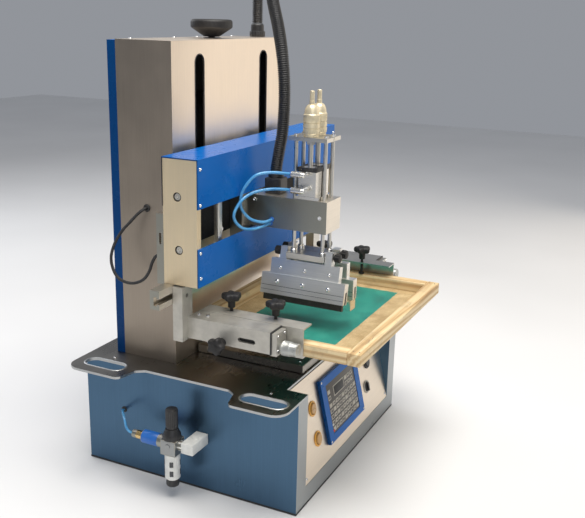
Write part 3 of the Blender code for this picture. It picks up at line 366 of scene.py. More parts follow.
PAINT = {
    SIDE_STEEL: ["cabinet_shell"],
    PANEL_STEEL: ["front_panel"],
    BED_ALLOY: ["table_bed"],
    COLUMN_STEEL: ["column_cover"],
    PLATE: ["top_plate"],
    BLUE: ["column_back_panel", "upper_cover", "lower_cover", "keypad"],
    END_ALLOY: ["beam_end_left", "beam_end_right"],
    ALLOY: ["beam_back_plate", "clamp_bar", "traverse_cylinder", "head_block", "air_filter_body"],
    ALLOY_Y: ["right_arm", "right_channel", "squeegee_yoke", "flood_yoke"],
    BLADE: ["squeegee_holder", "flood_holder"],
    SHEET: ["left_channel", "left_arm"],
    SATIN: ["squeegee_cylinder", "flood_cylinder", "lift_cylinder"],
    BRIGHT: ["guide_shaft_left", "guide_shaft_right", "traverse_rail_upper", "traverse_rail_lower",
             "flood_blade"],
    DARK_STEEL: ["lift_carriage", "stop_crosshead"],
    BLACK: ["column_gland", "head_gland", "mode_switch", "power_button"],
    AMBER: ["start_button", "stop_button"],
    WHITE: ["air_filter_bowl"],
    SQUEEGEE: ["squeegee_blade"],
}


def paint_nodes():
    for finish, names in PAINT.items():
        for name in names:
            NODES[name].data.materials.clear()
            NODES[name].data.materials.append(finish)


paint_nodes()


# ---- shape building
def spin_to(axis):
    """Rotation that carries local Z to an axis."""
    return Vector(axis).normalized().to_track_quat("Z", "Y").to_matrix().to_4x4()


def add_object(name, data):
    made = bpy.data.objects.new(name, data)
    bpy.context.scene.collection.objects.link(made)
    return made


def ribs(count, depth, low, high):
    """Ripple for a lathed shape: this many ribs between two heights, and none elsewhere."""
    return lambda z: (count, depth) if low < z < high else (0, 0)


def oval(cx, cy, half_w, half_l, steps=20):
    """Points of a slot outline: straight sides along Y with round ends."""
    loop = []
    for end, turn in ((1, 0), (-1, math.pi)):
        for k in range(steps + 1):
            a = turn + math.pi * k / steps
            y = cy + end * (half_l - half_w) + half_w * math.sin(a)
            loop.append(Vector((cx + half_w * math.cos(a), y)))
    return loop


class Shape:
    """Geometry gathered in one bmesh, then made into a piece that rides on a body."""

    def __init__(self):
        self.bm = bmesh.new()

    def put(self, part, matrix=None):
        """Adds the mesh of a temporary bmesh."""
        if matrix is not None:
            bmesh.ops.transform(part, matrix=matrix, verts=part.verts)
        mesh = bpy.data.meshes.new("part")
        part.to_mesh(mesh)
        part.free()
        self.bm.from_mesh(mesh)
        bpy.data.meshes.remove(mesh)
        return self

    def box(self, low, high, soft=0.0005, turn=None, segments=2):
        low, high = Vector(low), Vector(high)
        part = bmesh.new()
        bmesh.ops.create_cube(part, size=1.0)
        bmesh.ops.scale(part, vec=high - low, verts=part.verts)
        if soft:
            bmesh.ops.bevel(part, geom=part.edges[:], offset=soft, segments=segments, affect="EDGES",
                            profile=0.5)
        matrix = Matrix.Translation((low + high) / 2)
        return self.put(part, turn @ matrix if turn else matrix)

    def lathe(self, profile, at=(0, 0, 0), axis=Z, sides=48, ripple=None):
        """Turned shape; profile points are (radius, height). ripple(height) gives (count, depth)."""
        part = bmesh.new()
        rings = []
        for r, z in profile:
            if r < 1e-7:
                rings.append([part.verts.new((0, 0, z))])
                continue
            count, depth = ripple(z) if ripple else (0, 0)
            ring = []
            for k in range(sides):
                a = 2 * math.pi * k / sides
                d = r - depth * (0.5 - 0.5 * math.cos(count * a)) if depth else r
                ring.append(part.verts.new((d * math.cos(a), d * math.sin(a), z)))
            rings.append(ring)
        for one, two in zip(rings, rings[1:]):
            for k in range(sides):
                a, b = one[k % len(one)], one[(k + 1) % len(one)]
                c, d = two[(k + 1) % len(two)], two[k % len(two)]
                corners = list(dict.fromkeys((a, b, c, d)))
                if len(corners) > 2:
                    part.faces.new(corners)
        bmesh.ops.recalc_face_normals(part, faces=part.faces)
        return self.put(part, Matrix.Translation(at) @ spin_to(axis))

    def screw(self, at, axis, radius=0.0035, height=0.0018, socket=0.5):
        """Button-head screw with a six-sided socket."""
        dome = [(radius, 0), (radius, height * 0.25), (radius * 0.86, height * 0.75),
                (radius * 0.66, height)]
        self.lathe([(0, -0.0002)] + [(radius, -0.0002)] + dome + [(radius * socket, height)], at, axis, 24)
        hexagon = [(radius * socket, height), (radius * socket, height * 0.2), (0, height * 0.2)]
        return self.lathe(hexagon, at, axis, 6)

    def border(self, low, high, width, heights, soft, turn=None):
        """Four strips along the inside of a rectangle's edges, between two heights."""
        (x0, y0), (x1, y1), (w, h), (z0, z1) = low, high, width, heights
        for a, b, c, d in ((x0, y0, x1, y0 + h), (x0, y1 - h, x1, y1),
                           (x0, y0 + h, x0 + w, y1 - h), (x1 - w, y0 + h, x1, y1 - h)):
            self.box((a, b, z0), (c, d, z1), soft, turn)
        return self

    def edging(self, cx, low, high, half_w, inset, section, place):
        """Strip around a long slot. section holds (outward, height), and place turns them into a point."""
        rings = []
        for point in oval(cx, (low + high) / 2, half_w, (high - low) / 2):
            near = Vector((cx, min(max(point.y, low + inset), high - inset)))
            out = (point - near).normalized()
            rings.append([self.bm.verts.new(place(point + out * d, h)) for d, h in section])
        for ring, following in zip(rings, rings[1:] + rings[:1]):
            for a in range(len(section) - 1):
                self.bm.faces.new((ring[a], ring[a + 1], following[a + 1], following[a]))

    def cap_bolt(self, at, axis, radius, height):
        """Socket-head bolt with a knurled side."""
        side = [(radius, 0), (radius, height * 0.88), (radius * 0.92, height), (radius * 0.56, height)]
        self.lathe(side, at, axis, 48, ribs(24, radius * 0.05, -1, height * 0.9))
        hexagon = [(radius * 0.56, height), (radius * 0.56, height * 0.35), (0, height * 0.35)]
        return self.lathe(hexagon, at, axis, 6)

    def make(self, name, finish, body, slot=None, stands_for=(), angle=38):
        mesh = bpy.data.meshes.new(name)
        bmesh.ops.remove_doubles(self.bm, verts=self.bm.verts, dist=0.000005)
        self.bm.to_mesh(mesh)
        self.bm.free()
        mesh.materials.append(finish)
        mesh.shade_smooth()
        mesh.set_sharp_from_angle(angle=math.radians(angle))
        piece = add_object(name, mesh)
        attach(piece, body)
        if stands_for:
            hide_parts(*stands_for)
        return piece


def smooth_route(points, spacing):
    """Even points along the smooth curve through a route's own points."""
    route = [Vector(p) for p in points]
    ends = [route[0] * 2 - route[1]] + route + [route[-1] * 2 - route[-2]]
    fine = []
    for a, b, c, d in zip(ends, ends[1:], ends[2:], ends[3:]):
        for k in range(24):
            t = k / 24
            fine.append(0.5 * (2 * b + (c - a) * t + (2 * a - 5 * b + 4 * c - d) * t * t
                               + (3 * b - a - 3 * c + d) * t ** 3))
    fine.append(route[-1])
    total = sum((q - p).length for p, q in zip(fine, fine[1:]))
    count = round(total / spacing)
    wanted = [total * k / count for k in range(1, count)]
    even, walked = [fine[0]], 0.0
    for p, q in zip(fine, fine[1:]):
        step = (q - p).length
        while wanted and walked + step >= wanted[0]:
            even.append(p.lerp(q, (wanted.pop(0) - walked) / step))
        walked += step
    return even + [fine[-1]], total


# ---- hoses and cables
# Routes from one end to the other, as in the part. They were listed with places in view that a program had
# worked out, and two points of the sensor cable are its values.
CONDUIT_FIXED = [
    (0.2120, 0.1100, 0.9243), (0.2120, 0.1100, 0.9400), (0.2085, 0.1080, 0.9900),
    (0.1980, 0.1010, 1.0350), (0.1760, 0.0870, 1.0700), (0.1450, 0.0685, 1.0930),
    (0.1175, 0.0504, 1.0997), (0.1050, 0.0420, 1.0990),
]
CONDUIT_MOVING = [
    (0.1046, 0.0417, 1.0990), (0.0921, 0.0333, 1.0983), (0.0640, 0.0140, 1.0860),
    (0.0370, -0.0060, 1.0600), (0.0120, -0.0250, 1.0200), (-0.0130, -0.0450, 0.9720),
    (-0.0360, -0.0690, 0.9250), (-0.0530, -0.0870, 0.8780), (-0.0590, -0.0960, 0.8300),
    (-0.0600, -0.0985, 0.7790), (-0.0605, -0.0960, 0.7190), (-0.0645, -0.0915, 0.6800),
    (-0.0675, -0.0875, 0.6480), (-0.0680, -0.0870, 0.6380), (-0.0680, -0.0870, 0.6253),
]
SENSOR_CABLE = [
    (-0.2364, 0.1167, 0.5676), (-0.2430, 0.1167, 0.5676), (-0.2530, 0.1255, 0.5590),
    (-0.2620, 0.1400, 0.5410), (-0.2720, 0.1530, 0.5230), (-0.2800, 0.1652, 0.4985),
    (-0.2870, 0.1698, 0.4745), (-0.2900, 0.1668, 0.4549), (-0.2920, 0.1560, 0.4360),
    (-0.2940, 0.1380, 0.4270), (-0.2960, 0.1120, 0.4270), (-0.2980, 0.0862, 0.4387),
    (-0.3000, 0.0700, 0.4580), (-0.3000, 0.0625, 0.4770), (-0.3000, 0.0550, 0.4900),
    (-0.3000, 0.0470, 0.4955), (-0.3000, 0.0408, 0.4955),
]
UPPER_TUBE = [
    (-0.1220, -0.1480, 0.6450), (-0.1220, -0.1320, 0.6450), (-0.1300, -0.1040, 0.6450),
    (-0.1480, -0.0810, 0.6390), (-0.1600, -0.0625, 0.6130), (-0.1640, -0.0570, 0.5900),
    (-0.1600, -0.0590, 0.5690), (-0.1480, -0.0720, 0.5500), (-0.1320, -0.0900, 0.5430),
    (-0.1180, -0.0985, 0.5443), (-0.1070, -0.0985, 0.5445),
]
LOWER_TUBE = [
    (-0.1220, -0.1480, 0.6130), (-0.1220, -0.1320, 0.6130), (-0.1310, -0.1060, 0.6120),
    (-0.1480, -0.0800, 0.6060), (-0.1690, -0.0665, 0.5950), (-0.1830, -0.0590, 0.5790),
    (-0.1890, -0.0560, 0.5630), (-0.1840, -0.0590, 0.5480), (-0.1700, -0.0670, 0.5350),
    (-0.1520, -0.0780, 0.5310), (-0.1330, -0.0880, 0.5330), (-0.1180, -0.0945, 0.5362),
    (-0.1120, -0.0955, 0.5365), (-0.1070, -0.0955, 0.5365),
]
SUPPLY_TUBE = [
    (-0.3300, 0.0967, 0.1180), (-0.3300, 0.1080, 0.1183), (-0.3292, 0.1160, 0.1270),
    (-0.3270, 0.1200, 0.1380), (-0.3190, 0.1300, 0.1470), (-0.3060, 0.1410, 0.1480),
    (-0.2950, 0.1510, 0.1400), (-0.2870, 0.1560, 0.1360), (-0.2803, 0.1560, 0.1356),
]


def swept(name, route, radii, spacing, finish, sides=24):
    """Tube along a route; its rings take the listed radii in turn."""
    rings, total = smooth_route(route, spacing)
    bm = bmesh.new()
    side = (rings[1] - rings[0]).orthogonal().normalized()
    made = []
    for i, centre in enumerate(rings):
        along = (rings[min(i + 1, len(rings) - 1)] - rings[max(i - 1, 0)]).normalized()
        side = (side - along * side.dot(along)).normalized()
        across = along.cross(side)
        radius = radii[i % len(radii)]
        made.append([bm.verts.new(centre + (side * math.cos(a) + across * math.sin(a)) * radius)
                     for a in (2 * math.pi * k / sides for k in range(sides))])
    for one, two in zip(made, made[1:]):
        for k in range(sides):
            bm.faces.new((one[k], one[(k + 1) % sides], two[(k + 1) % sides], two[k]))
    bm.faces.new(list(reversed(made[0])))
    bm.faces.new(made[-1])
    mesh = bpy.data.meshes.new(name)
    bm.to_mesh(mesh)
    bm.free()
    mesh.shade_smooth()
    mesh.materials.append(finish)
    return add_object(name, mesh), rings, total


def run_cords():
    ribs = (0.0125, 0.0125, 0.0108, 0.0108)
    for node, route, radii, spacing, finish, bodies, slot in (
            ("conduit_fixed", CONDUIT_FIXED, ribs, 0.00105, HOSE, ("machine", "beam"), "black_rubber"),
            ("conduit_moving", CONDUIT_MOVING, ribs, 0.00105, HOSE, ("beam", "head"), "black_rubber"),
            ("sensor_cable", SENSOR_CABLE, (0.003,), 0.004, RUBBER, ("machine", "beam"), "black_rubber"),
            ("air_tube_upper", UPPER_TUBE, (0.003,), 0.004, TUBE, ("head",), "tube"),
            ("air_tube_lower", LOWER_TUBE, (0.003,), 0.004, TUBE, ("head",), "tube"),
            ("supply_tube", SUPPLY_TUBE, (0.0025,), 0.003, TUBE, ("machine",), "tube")):
        piece, rings, total = swept(node + "_swept", route, radii, spacing, finish)
        if len(bodies) == 2:
            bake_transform(piece)
        else:
            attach(piece, bodies[0])
        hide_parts(node)


run_cords()


# ---- cabinet details
FOOT = Vector((0, -0.25, 0.0425))
SLOPE = Vector((0, 0.046, 0.2005)).normalized()
OUT = Vector((0, -SLOPE.z, SLOPE.y))
PANEL = Matrix((X, SLOPE, OUT)).transposed().to_4x4()     # local X, up the slope, out of the panel
PANEL.translation = FOOT


PAD_X, PAD_ALONG = -0.0143, 0.102                        # middle of the keypad


def on_panel(x, along, out=0.0):
    return FOOT + X * x + SLOPE * along + OUT * out


def bezel(name, x, along, outer, inner, finish, height=0.0024):
    """Ring nut around a panel control, rounded on its outer edge."""
    ring = [(inner, 0.0001), (outer - 0.0004, 0.0001), (outer, 0.0006), (outer, height * 0.5),
            (outer - 0.0012, height), (inner + 0.0009, height), (inner, height - 0.0008), (inner, 0.0001)]
    Shape().lathe(ring, on_panel(x, along), OUT, 64).make(name, finish, "machine", "steel_part")


def panel_controls():
    bezel("start_bezel", -0.151, 0.13, 0.0165, 0.0124, AMBER_RING)
    bezel("stop_bezel", -0.151, 0.064, 0.0165, 0.0124, AMBER_RING)
    bezel("mode_bezel", 0.13, 0.068, 0.0155, 0.0121, SHEET)
    bezel("power_bezel", 0.152, 0.122, 0.0165, 0.0124, BLACK, 0.003)
    screws = Shape()
    for x in (-0.228, 0.228):
        for along in (0.012, 0.19):
            screws.screw(on_panel(x, along, 0.0001), OUT, 0.0032, 0.0016)
    for x in (PAD_X - 0.0925, PAD_X + 0.0925):
        for along in (PAD_ALONG - 0.066, PAD_ALONG + 0.066):
            screws.screw(on_panel(x, along, 0.0084), OUT, 0.0026, 0.0014)
    screws.make("panel_screws", BRIGHT, "machine", "steel_part")


def keypad_face():
    """Membrane with its display window, two lamps and rows of small keys, in the frame's recess."""
    x0, x1, y0, y1 = PAD_X - 0.0753, PAD_X + 0.0731, PAD_ALONG - 0.0543, PAD_ALONG + 0.0527
    Shape().box((x0, y0, 0.007), (x1, y1, 0.0075), 0.0002, PANEL).make(
        "keypad_membrane", FILM, "machine", "grey_keypad")
    Shape().box((-0.0547, 0.121, 0.0074), (-0.003, 0.14, 0.008), 0.0003, PANEL).make(
        "display_window", GLASS, "machine", "grey_keypad")
    trim = Shape().border((-0.0567, 0.119), (-0.001, 0.142), (0.002, 0.002), (0.0074, 0.0081), 0.0002,
                          PANEL)
    keys, marks = Shape(), Shape()
    places = [(x0 + 0.0095 + 0.0162 * column,
               0.056 + 0.0128 * row) for row in range(5) for column in range(9)]
    places += [(0.0105 + 0.0155 * column, 0.1235 + 0.0135 * row) for row in range(2) for column in range(3)]
    places += [(x0 + 0.0095, 0.1235 + 0.0135 * row) for row in range(2)]
    for k, (x, y) in enumerate(places):
        keys.box((x - 0.0062, y - 0.0042, 0.0074), (x + 0.0062, y + 0.0042, 0.008), 0.0005, PANEL)
        wide, tall = (0.003, 0.002) if k % 3 else (0.0042, 0.0028)
        if k % 4:
            marks.box((x - wide, y - tall, 0.008), (x + wide, y + tall, 0.00806), 0, PANEL)
    trim.make("display_trim", KEYS, "machine", "grey_keypad")
    keys.make("keypad_keys", KEYS, "machine", "grey_keypad")
    marks.make("key_marks", FILM, "machine", "grey_keypad")
    dome = [(0, 0.0016), (0.0016, 0.0014), (0.0026, 0.0006), (0.0028, 0.0), (0.0028, -0.0006), (0, -0.0006)]
    for name, along, finish in (("ready_lamp", 0.066, WHITE), ("fault_lamp", 0.053, RED_LAMP)):
        Shape().lathe(dome, on_panel(x0 + 0.0035, along, 0.0078), OUT, 24).make(
            name, finish, "machine", "grey_keypad")


def handle_rims():
    """Rolled rim around each hand hole in the top plate."""
    section = [(-0.0004, 0.2378), (-0.0004, 0.2436), (0.0008, 0.2442), (0.0024, 0.2436), (0.003, 0.2431)]
    for word, side in SIDES:
        for place, low, high in (("front", -0.237, -0.139), ("rear", 0.134, 0.228)):
            shape = Shape()
            shape.edging(side * HAND_HOLE_X, low, high, 0.0191, 0.019, section, lambda p, z: (*p, z))
            bmesh.ops.recalc_face_normals(shape.bm, faces=shape.bm.faces)
            shape.make(f"{word}_{place}_rim", RIM, "machine", "brushed_base", angle=60)


def cabinet_trim():
    """Dark foot seam, side screws, rear vents and the bed's fixings."""
    seam = Shape().border((-0.2806, -0.2506), (0.2806, 0.2506), (0.001, 0.001), (0.0005, 0.0042), 0.0002)
    seam.make("foot_seam", RUBBER, "machine", "black_rubber")
    vents = Shape()
    for x in (-0.12, 0.12):
        for k in range(8):
            z = 0.085 + k * 0.011
            vents.box((x - 0.045, 0.2498, z), (x + 0.045, 0.2512, z + 0.0035), 0.0005)
    vents.make("rear_louvres", DARK_STEEL, "machine", "brushed_base")
    screws = Shape()
    for y in (-0.185, 0.185):
        for side in (-1, 1):
            screws.screw((side * 0.268, y, 0.243), Z, 0.0032, 0.0016)
    for x in (-0.14, 0.14):
        for y in (-0.186, 0.036):
            screws.screw((x, y, 0.2613), Z, 0.0036, 0.0012)
    screws.make("plate_screws", BRIGHT, "machine", "steel_part")


panel_controls()
keypad_face()
handle_rims()
cabinet_trim()


# ---- column details
def handwheel():
    grip = ribs(36, 0.0006, 0.018, 0.029)
    profile = [(0, 0.0318), (0.012, 0.0318), (0.0128, 0.0326), (0.036, 0.033), (0.0415, 0.032),
               (0.0438, 0.0298), (0.0445, 0.0268), (0.0445, 0.0185), (0.044, 0.0165), (0.0425, 0.015),
               (0.034, 0.0092), (0.0172, -0.002), (0.016, -0.0025), (0.007, -0.0025), (0.007, -0.235),
               (0, -0.235)]
    Shape().lathe(profile, (0, 0.107, 0.9), Z, 108, grip).make(
        "handwheel_grip", KNOB_BLACK, "handwheel", "black_plastic", ["height_handwheel"])
    ring = [(0.0086, 0.0001), (0.021, 0.0001), (0.0215, 0.0008), (0.02, 0.002), (0.0105, 0.002),
            (0.0086, 0.0014)]
    Shape().lathe(ring, (0, 0.107, 0.894), Z, 64).make("screw_collar", BRIGHT, "machine", "steel_part")


def column_trim():
    screws = Shape()
    for x in (-0.2, -0.045, 0.045, 0.2):
        screws.screw((x, 0.172, 0.8941), Z, 0.0034, 0.0017)
    for x in (-0.215, 0.0, 0.215):
        for z in (0.262, 0.565, 0.872):
            screws.screw((x, 0.2018, z), Y, 0.0034, 0.0017)
    screws.make("column_screws", BRIGHT, "machine", "steel_part")
    grommet = [(0.0034, -0.0005), (0.0072, -0.0005), (0.008, 0.0006), (0.0072, 0.0022), (0.0044, 0.003),
               (0.0034, 0.0024)]
    Shape().lathe(grommet, (-0.236, 0.1167, 0.5676), -X, 32).make("cable_grommet", RUBBER, "machine",
                                                                  "black_rubber")
    Shape().lathe(grommet, (-0.3, 0.0405, 0.4955), Y, 32).make("beam_grommet", RUBBER, "beam",
                                                               "black_rubber")
    edges = Shape()
    section = ((0.0004, 0.0552), (0.0004, 0.0526), (0.0022, 0.0526), (0.0022, 0.0536))
    for side in (-1, 1):
        edges.edging(side * SLOT_X, 0.442, 0.866, 0.0155, 0.0155, section, lambda p, y: (p.x, y, p.y))
    bmesh.ops.recalc_face_normals(edges.bm, faces=edges.bm.faces)
    edges.make("slot_edging", RUBBER, "machine", "black_rubber", angle=60)
    # Painted shade: a black sheet and two thin black walls inside the column, seen through its slots.
    shade_sheet = Shape().box((-0.233, 0.149, 0.25), (0.233, 0.1496, 0.886), 0.0002)
    for side in (-1, 1):
        shade_sheet.box((side * 0.21 - 0.0004, 0.057, 0.64), (side * 0.21 + 0.0004, 0.1488, 0.886), 0)
    shade_sheet.make("painted_shade_black", SHADE_BLACK, "machine", "black_rubber")


def gland_nuts():
    """Ribbed lock nuts at both ends of the conduit."""
    grip = ribs(18, 0.0012, 0.0015, 0.012)
    nut = [(0.0126, 0.0005), (0.017, 0.0005), (0.0182, 0.0016), (0.0182, 0.0118), (0.017, 0.013),
           (0.014, 0.0134), (0.0126, 0.0134)]
    Shape().lathe(nut, (0.212, 0.11, 0.894), Z, 72, grip).make("column_nut", BLACK, "machine",
                                                               "black_plastic")
    collar = [(0.0127, 0.0), (0.0158, 0.0), (0.0164, 0.001), (0.0158, 0.008), (0.0146, 0.0092),
              (0.0129, 0.0092)]
    Shape().lathe(collar, (-0.068, -0.087, 0.6252), Z, 64).make("head_collar", BLACK, "head",
                                                                "black_plastic")


handwheel()
column_trim()
gland_nuts()


# ---- beam details
def beam_trim():
    screws = Shape()
    for side in (-1, 1):
        for z in (0.672, 0.605, 0.5135, 0.4645):
            screws.screw((side * 0.3057, -0.0518, z), -Y, 0.0036, 0.0017)
    screws.make("cover_screws", BRIGHT, "beam", "steel_part")
    bolts, bore_shades = Shape(), Shape()
    # Painted shade: a black ring lining the recess around each end bolt's head.
    bore_ring = [(0.007, 0.0), (0.0088, 0.0), (0.0088, 0.0044), (0.007, 0.0044)]
    for side in (-1, 1):
        for y, z in ((-0.007, 0.618), (-0.0095, 0.516)):
            bolts.cap_bolt((side * 0.3087, y, z), X * side, 0.0068, 0.0042)
            bore_shades.lathe(bore_ring, (side * 0.3092, y, z), X * side, 48)
    bolts.make("end_bolts", ALLOY_Y, "beam", "steel_part")
    bore_shades.make("counterbore_shade", SHADE_BLACK, "beam", "black_rubber")
    # Painted shade: a thin black sheet across the gap between the beam's parts.
    shade = Shape().box((-0.3, -0.0042, 0.515), (0.3, -0.0032, 0.606), 0.0002)
    shade.make("gap_shade_sheet", SHADE_BLACK, "beam", "black_rubber")
    lip = Shape()
    for side in (-1, 1):
        lip.box((side * 0.3146 - 0.0012, 0.0246, 0.598), (side * 0.3146 + 0.0012, 0.0262, 0.688), 0.0004)
    lip.make("end_return", DARK_STEEL, "beam", "blue_paint")
    sensor = Shape()
    sensor.box((-0.228, -0.044, 0.515), (-0.213, -0.034, 0.606), 0.0012)
    sensor.make("slit_bracket", BLADE, "beam", "aluminium_part")
    washer = [(0, 0.0058), (0.004, 0.0058), (0.0044, 0.005), (0.0044, 0.0022), (0.0078, 0.002),
              (0.0084, 0.0012), (0.0084, 0.0), (0, 0)]
    Shape().lathe(washer, (-0.205, -0.033, 0.538), -Y, 40).make("slit_screw", SATIN, "beam", "steel_part")
    Shape().box((-0.213, -0.0332, 0.53), (-0.196, -0.032, 0.546), 0.0004).make(
        "slit_lug", ALLOY_Y, "beam", "aluminium_part")


def head_trim():
    bolts = Shape()
    for side in (-1, 1):
        for y, z in ((-0.059, 0.5824), (-0.205, 0.56)):
            bolts.cap_bolt((-0.0717 + side * 0.035, y, z), X * side, 0.0042, 0.003)
    for x in (-0.1, -0.0435):
        bolts.cap_bolt((x, -0.06, 0.5925), Z, 0.0036, 0.003)
    bolts.make("head_bolts", BRIGHT, "head", "steel_part")
    caps = Shape()
    for _, x in UNITS:
        caps.border((x - 0.0158, ROD_Y - 0.0208), (x + 0.0158, ROD_Y + 0.0208), (0.0036, 0.0086),
                    (0.649, 0.6574), 0.0004)
    caps.make("cylinder_caps", BLACK, "head", "black_plastic")
    rings = Shape()
    fitting = [(0.0034, -0.001), (0.005, -0.001), (0.0054, -0.0004), (0.0054, 0.0016), (0.004, 0.0026),
               (0.0032, 0.0026)]
    for z in (0.645, 0.613):
        rings.lathe(fitting, (-0.122, -0.148, z), Y, 32)
    for y, z in ((-0.0985, 0.5445), (-0.0955, 0.5365)):
        rings.lathe(fitting, (-0.1072, y, z), -X, 32)
    rings.make("tube_collars", COUPLING, "head", "tube")
    valves = Shape()
    for z in (0.645, 0.613):
        valves.lathe([(0, 0.0065), (0.0044, 0.0065), (0.0052, 0.0056), (0.0052, 0.0), (0, 0)],
                     (-0.122, -0.17, z), -Y, 36, ribs(12, 0.0004, 0, 0.006))
    valves.make("flow_screws", SATIN, "head", "steel_part")


def yoke_trim():
    bush = [(0.0041, -0.002), (0.0068, -0.002), (0.0072, 0.0), (0.0072, 0.0045), (0.006, 0.006),
            (0.0041, 0.006)]
    for unit, x in UNITS:
        bolts = Shape()
        for side in (-1, 1):
            bolts.cap_bolt((x, ROD_Y + side * 0.032, 0.717), Z, 0.0042, 0.0034)
            bolts.lathe(bush, (x, ROD_Y + side * 0.032, 0.48), Z, 32)
        bolts.make(unit + "_yoke_bolts", BRIGHT, unit + "_lifter", "steel_part")


def thimbles():
    """Graduated stroke adjusters: grooved skirt, knurled shoulder, domed neck and thin stem."""
    grip = ribs(36, 0.0007, 0.0295, 0.042)
    profile = [(0, 0.089), (0.0036, 0.089), (0.0045, 0.088), (0.0045, 0.07), (0.0052, 0.0696),
               (0.0052, 0.063), (0.0078, 0.062), (0.0105, 0.0595), (0.0128, 0.055), (0.0142, 0.05),
               (0.0146, 0.045), (0.0158, 0.0435), (0.0163, 0.0425), (0.0163, 0.0418), (0.0163, 0.0298),
               (0.0163, 0.029), (0.0152, 0.0286), (0.0152, 0.027), (0.0165, 0.0264), (0.0165, 0.018),
               (0.0155, 0.0175), (0.0155, 0.016), (0.0165, 0.0155), (0.0165, 0.007), (0.0155, 0.006),
               (0.015, 0.005), (0.015, 0.0003), (0, 0.0003)]
    for unit, x in UNITS:
        Shape().lathe(profile, (x, ROD_Y, 0.717), Z, 144, grip).make(unit + "_thimble_turned", CREAM,
                                                                     unit + "_stroke_adjuster",
                                                                     "aluminium_part", [unit + "_thimble"],
                                                                     30)
        marks = Shape()
        for k in range(24):
            a = 2 * math.pi * k / 24
            tall = 0.0045 if k % 4 == 0 else 0.0026
            turn = Matrix.Translation((x, ROD_Y, 0.717)) @ Matrix.Rotation(a, 4, "Z")
            marks.box((0.01645, -0.00016, 0.0078), (0.01662, 0.00016, 0.0078 + tall), 0, turn)
        marks.make(unit + "_graduations", DARK_STEEL, unit + "_stroke_adjuster", "aluminium_part")


def holder_trim():
    """Clamp screws, seams and pivot knobs of both holders."""
    bodies = (("squeegee", math.radians(12)), ("flood_bar", 0.0))
    for (unit, x), (body, lean) in zip(UNITS, bodies):
        turn = Matrix.Translation((x, ROD_Y, 0.474)) @ Matrix.Rotation(lean, 4, "Y")
        screws = Shape()
        for face, out in ((-0.012, -1), (0.008, 1)):
            for y in (-0.057, 0.0, 0.057):
                at = turn @ Vector((face, y, -0.0613))
                screws.screw(at, turn.to_3x3() @ Vector((out, 0, 0)), 0.0046, 0.0024)
        for y in (-0.055, 0.0, 0.055):
            at = turn @ Vector((-0.0081, y, -0.032))
            screws.screw(at, turn.to_3x3() @ Vector((-1, 0, 0)), 0.0036, 0.002)
        screws.make(unit + "_clamp_screws", BRIGHT, body, "steel_part")
        seam = Shape()
        seam.box((-0.0122, -0.0917, -0.0708), (-0.0117, 0.0917, -0.07), 0.0, turn)
        seam.box((-0.0122, -0.0917, -0.08), (-0.0117, 0.0917, -0.0794), 0.0, turn)
        seam.make(unit + "_jaw_seams", DARK_STEEL, body, "steel_part")
        grip = ribs(9, 0.0016, 0.0035, 0.0135)
        knob = [(0, 0.015), (0.007, 0.015), (0.0088, 0.0138), (0.0092, 0.012), (0.0092, 0.0045),
                (0.008, 0.003), (0.0045, 0.0025), (0.0045, 0), (0, 0)]
        shape = Shape()
        for side in (-1, 1):
            at = turn @ Vector((0, side * 0.0577, 0.0035))
            shape.lathe(knob, at, turn.to_3x3() @ Vector((0, side, 0)), 54, grip)
        shape.make(unit + "_tilt_knobs", KNOB_BLACK, body, "black_plastic", angle=50)


beam_trim()
head_trim()
yoke_trim()
thimbles()
holder_trim()


# ---- screen arms
def star(shape, at, axis, radius=0.0205, depth=0.0058, height=0.0135, low=0.02275, lobes=5):
    """Lobed knob head with rounded rims and a raised centre."""
    top = low + height
    profile = [(0, top + 0.0006), (radius * 0.3, top + 0.0006), (radius * 0.36, top - 0.0004),
               (radius * 0.8, top), (radius * 0.93, top - 0.0012), (radius, top - 0.0042),
               (radius, low + 0.0042), (radius * 0.93, low + 0.0012), (radius * 0.8, low), (0, low)]
    return shape.lathe(profile, at, axis, 80, ribs(lobes, depth, 0, top + 0.0003))


def clamp_knobs():
    for word, side in SIDES:
        for place, y in (("front", -0.172), ("rear", -0.074)):
            name = f"{word}_knob_{place}"
            shape = Shape()
            at = (side * 0.228, y, 0.3815)
            star(shape, at, Z)
            hub = [(0, 0.024), (0.0078, 0.024), (0.0078, 0.022), (0.0072, 0.0078), (0.0066, 0.007),
                   (0.003, 0.007), (0.003, -0.0262), (0.0065, -0.0262), (0.0065, -0.0298), (0, -0.0298)]
            shape.lathe(hub, at, Z, 40)
            shape.make(name + "_star", KNOB_BLACK, name, "black_plastic", [name], 50)


def adjusters():
    grip = ribs(48, 0.0006, 0.006, 0.0195)
    profile = [(0, 0.0365), (0.003, 0.0365), (0.0034, 0.0358), (0.0118, 0.0358), (0.013, 0.0348),
               (0.0132, 0.033), (0.0132, 0.0228), (0.014, 0.0212), (0.0145, 0.02), (0.0145, 0.0195),
               (0.0145, 0.0062), (0.0145, 0.0055), (0.0138, 0.004), (0.01, 0.003), (0.01, 0.0003),
               (0, 0.0003)]
    for word, side in SIDES:
        name, at = word + "_adjuster", (side * ADJUSTER_AT[0], *ADJUSTER_AT[1:])
        Shape().lathe(profile, at, -Y, 144, grip).make(
            name + "_knurled", ADJUSTER, name, "steel_part", [name], 30)
        marks = Shape()
        for k in range(20):
            turn = Matrix.Translation(at) @ Matrix.Rotation(2 * math.pi * k / 20, 4, "Y")
            marks.box((0.01315, -0.0335, -0.00015), (0.01332, -0.03 if k % 5 else -0.028, 0.00015), 0, turn)
        marks.make(name + "_scale", DARK_STEEL, name, "steel_part")


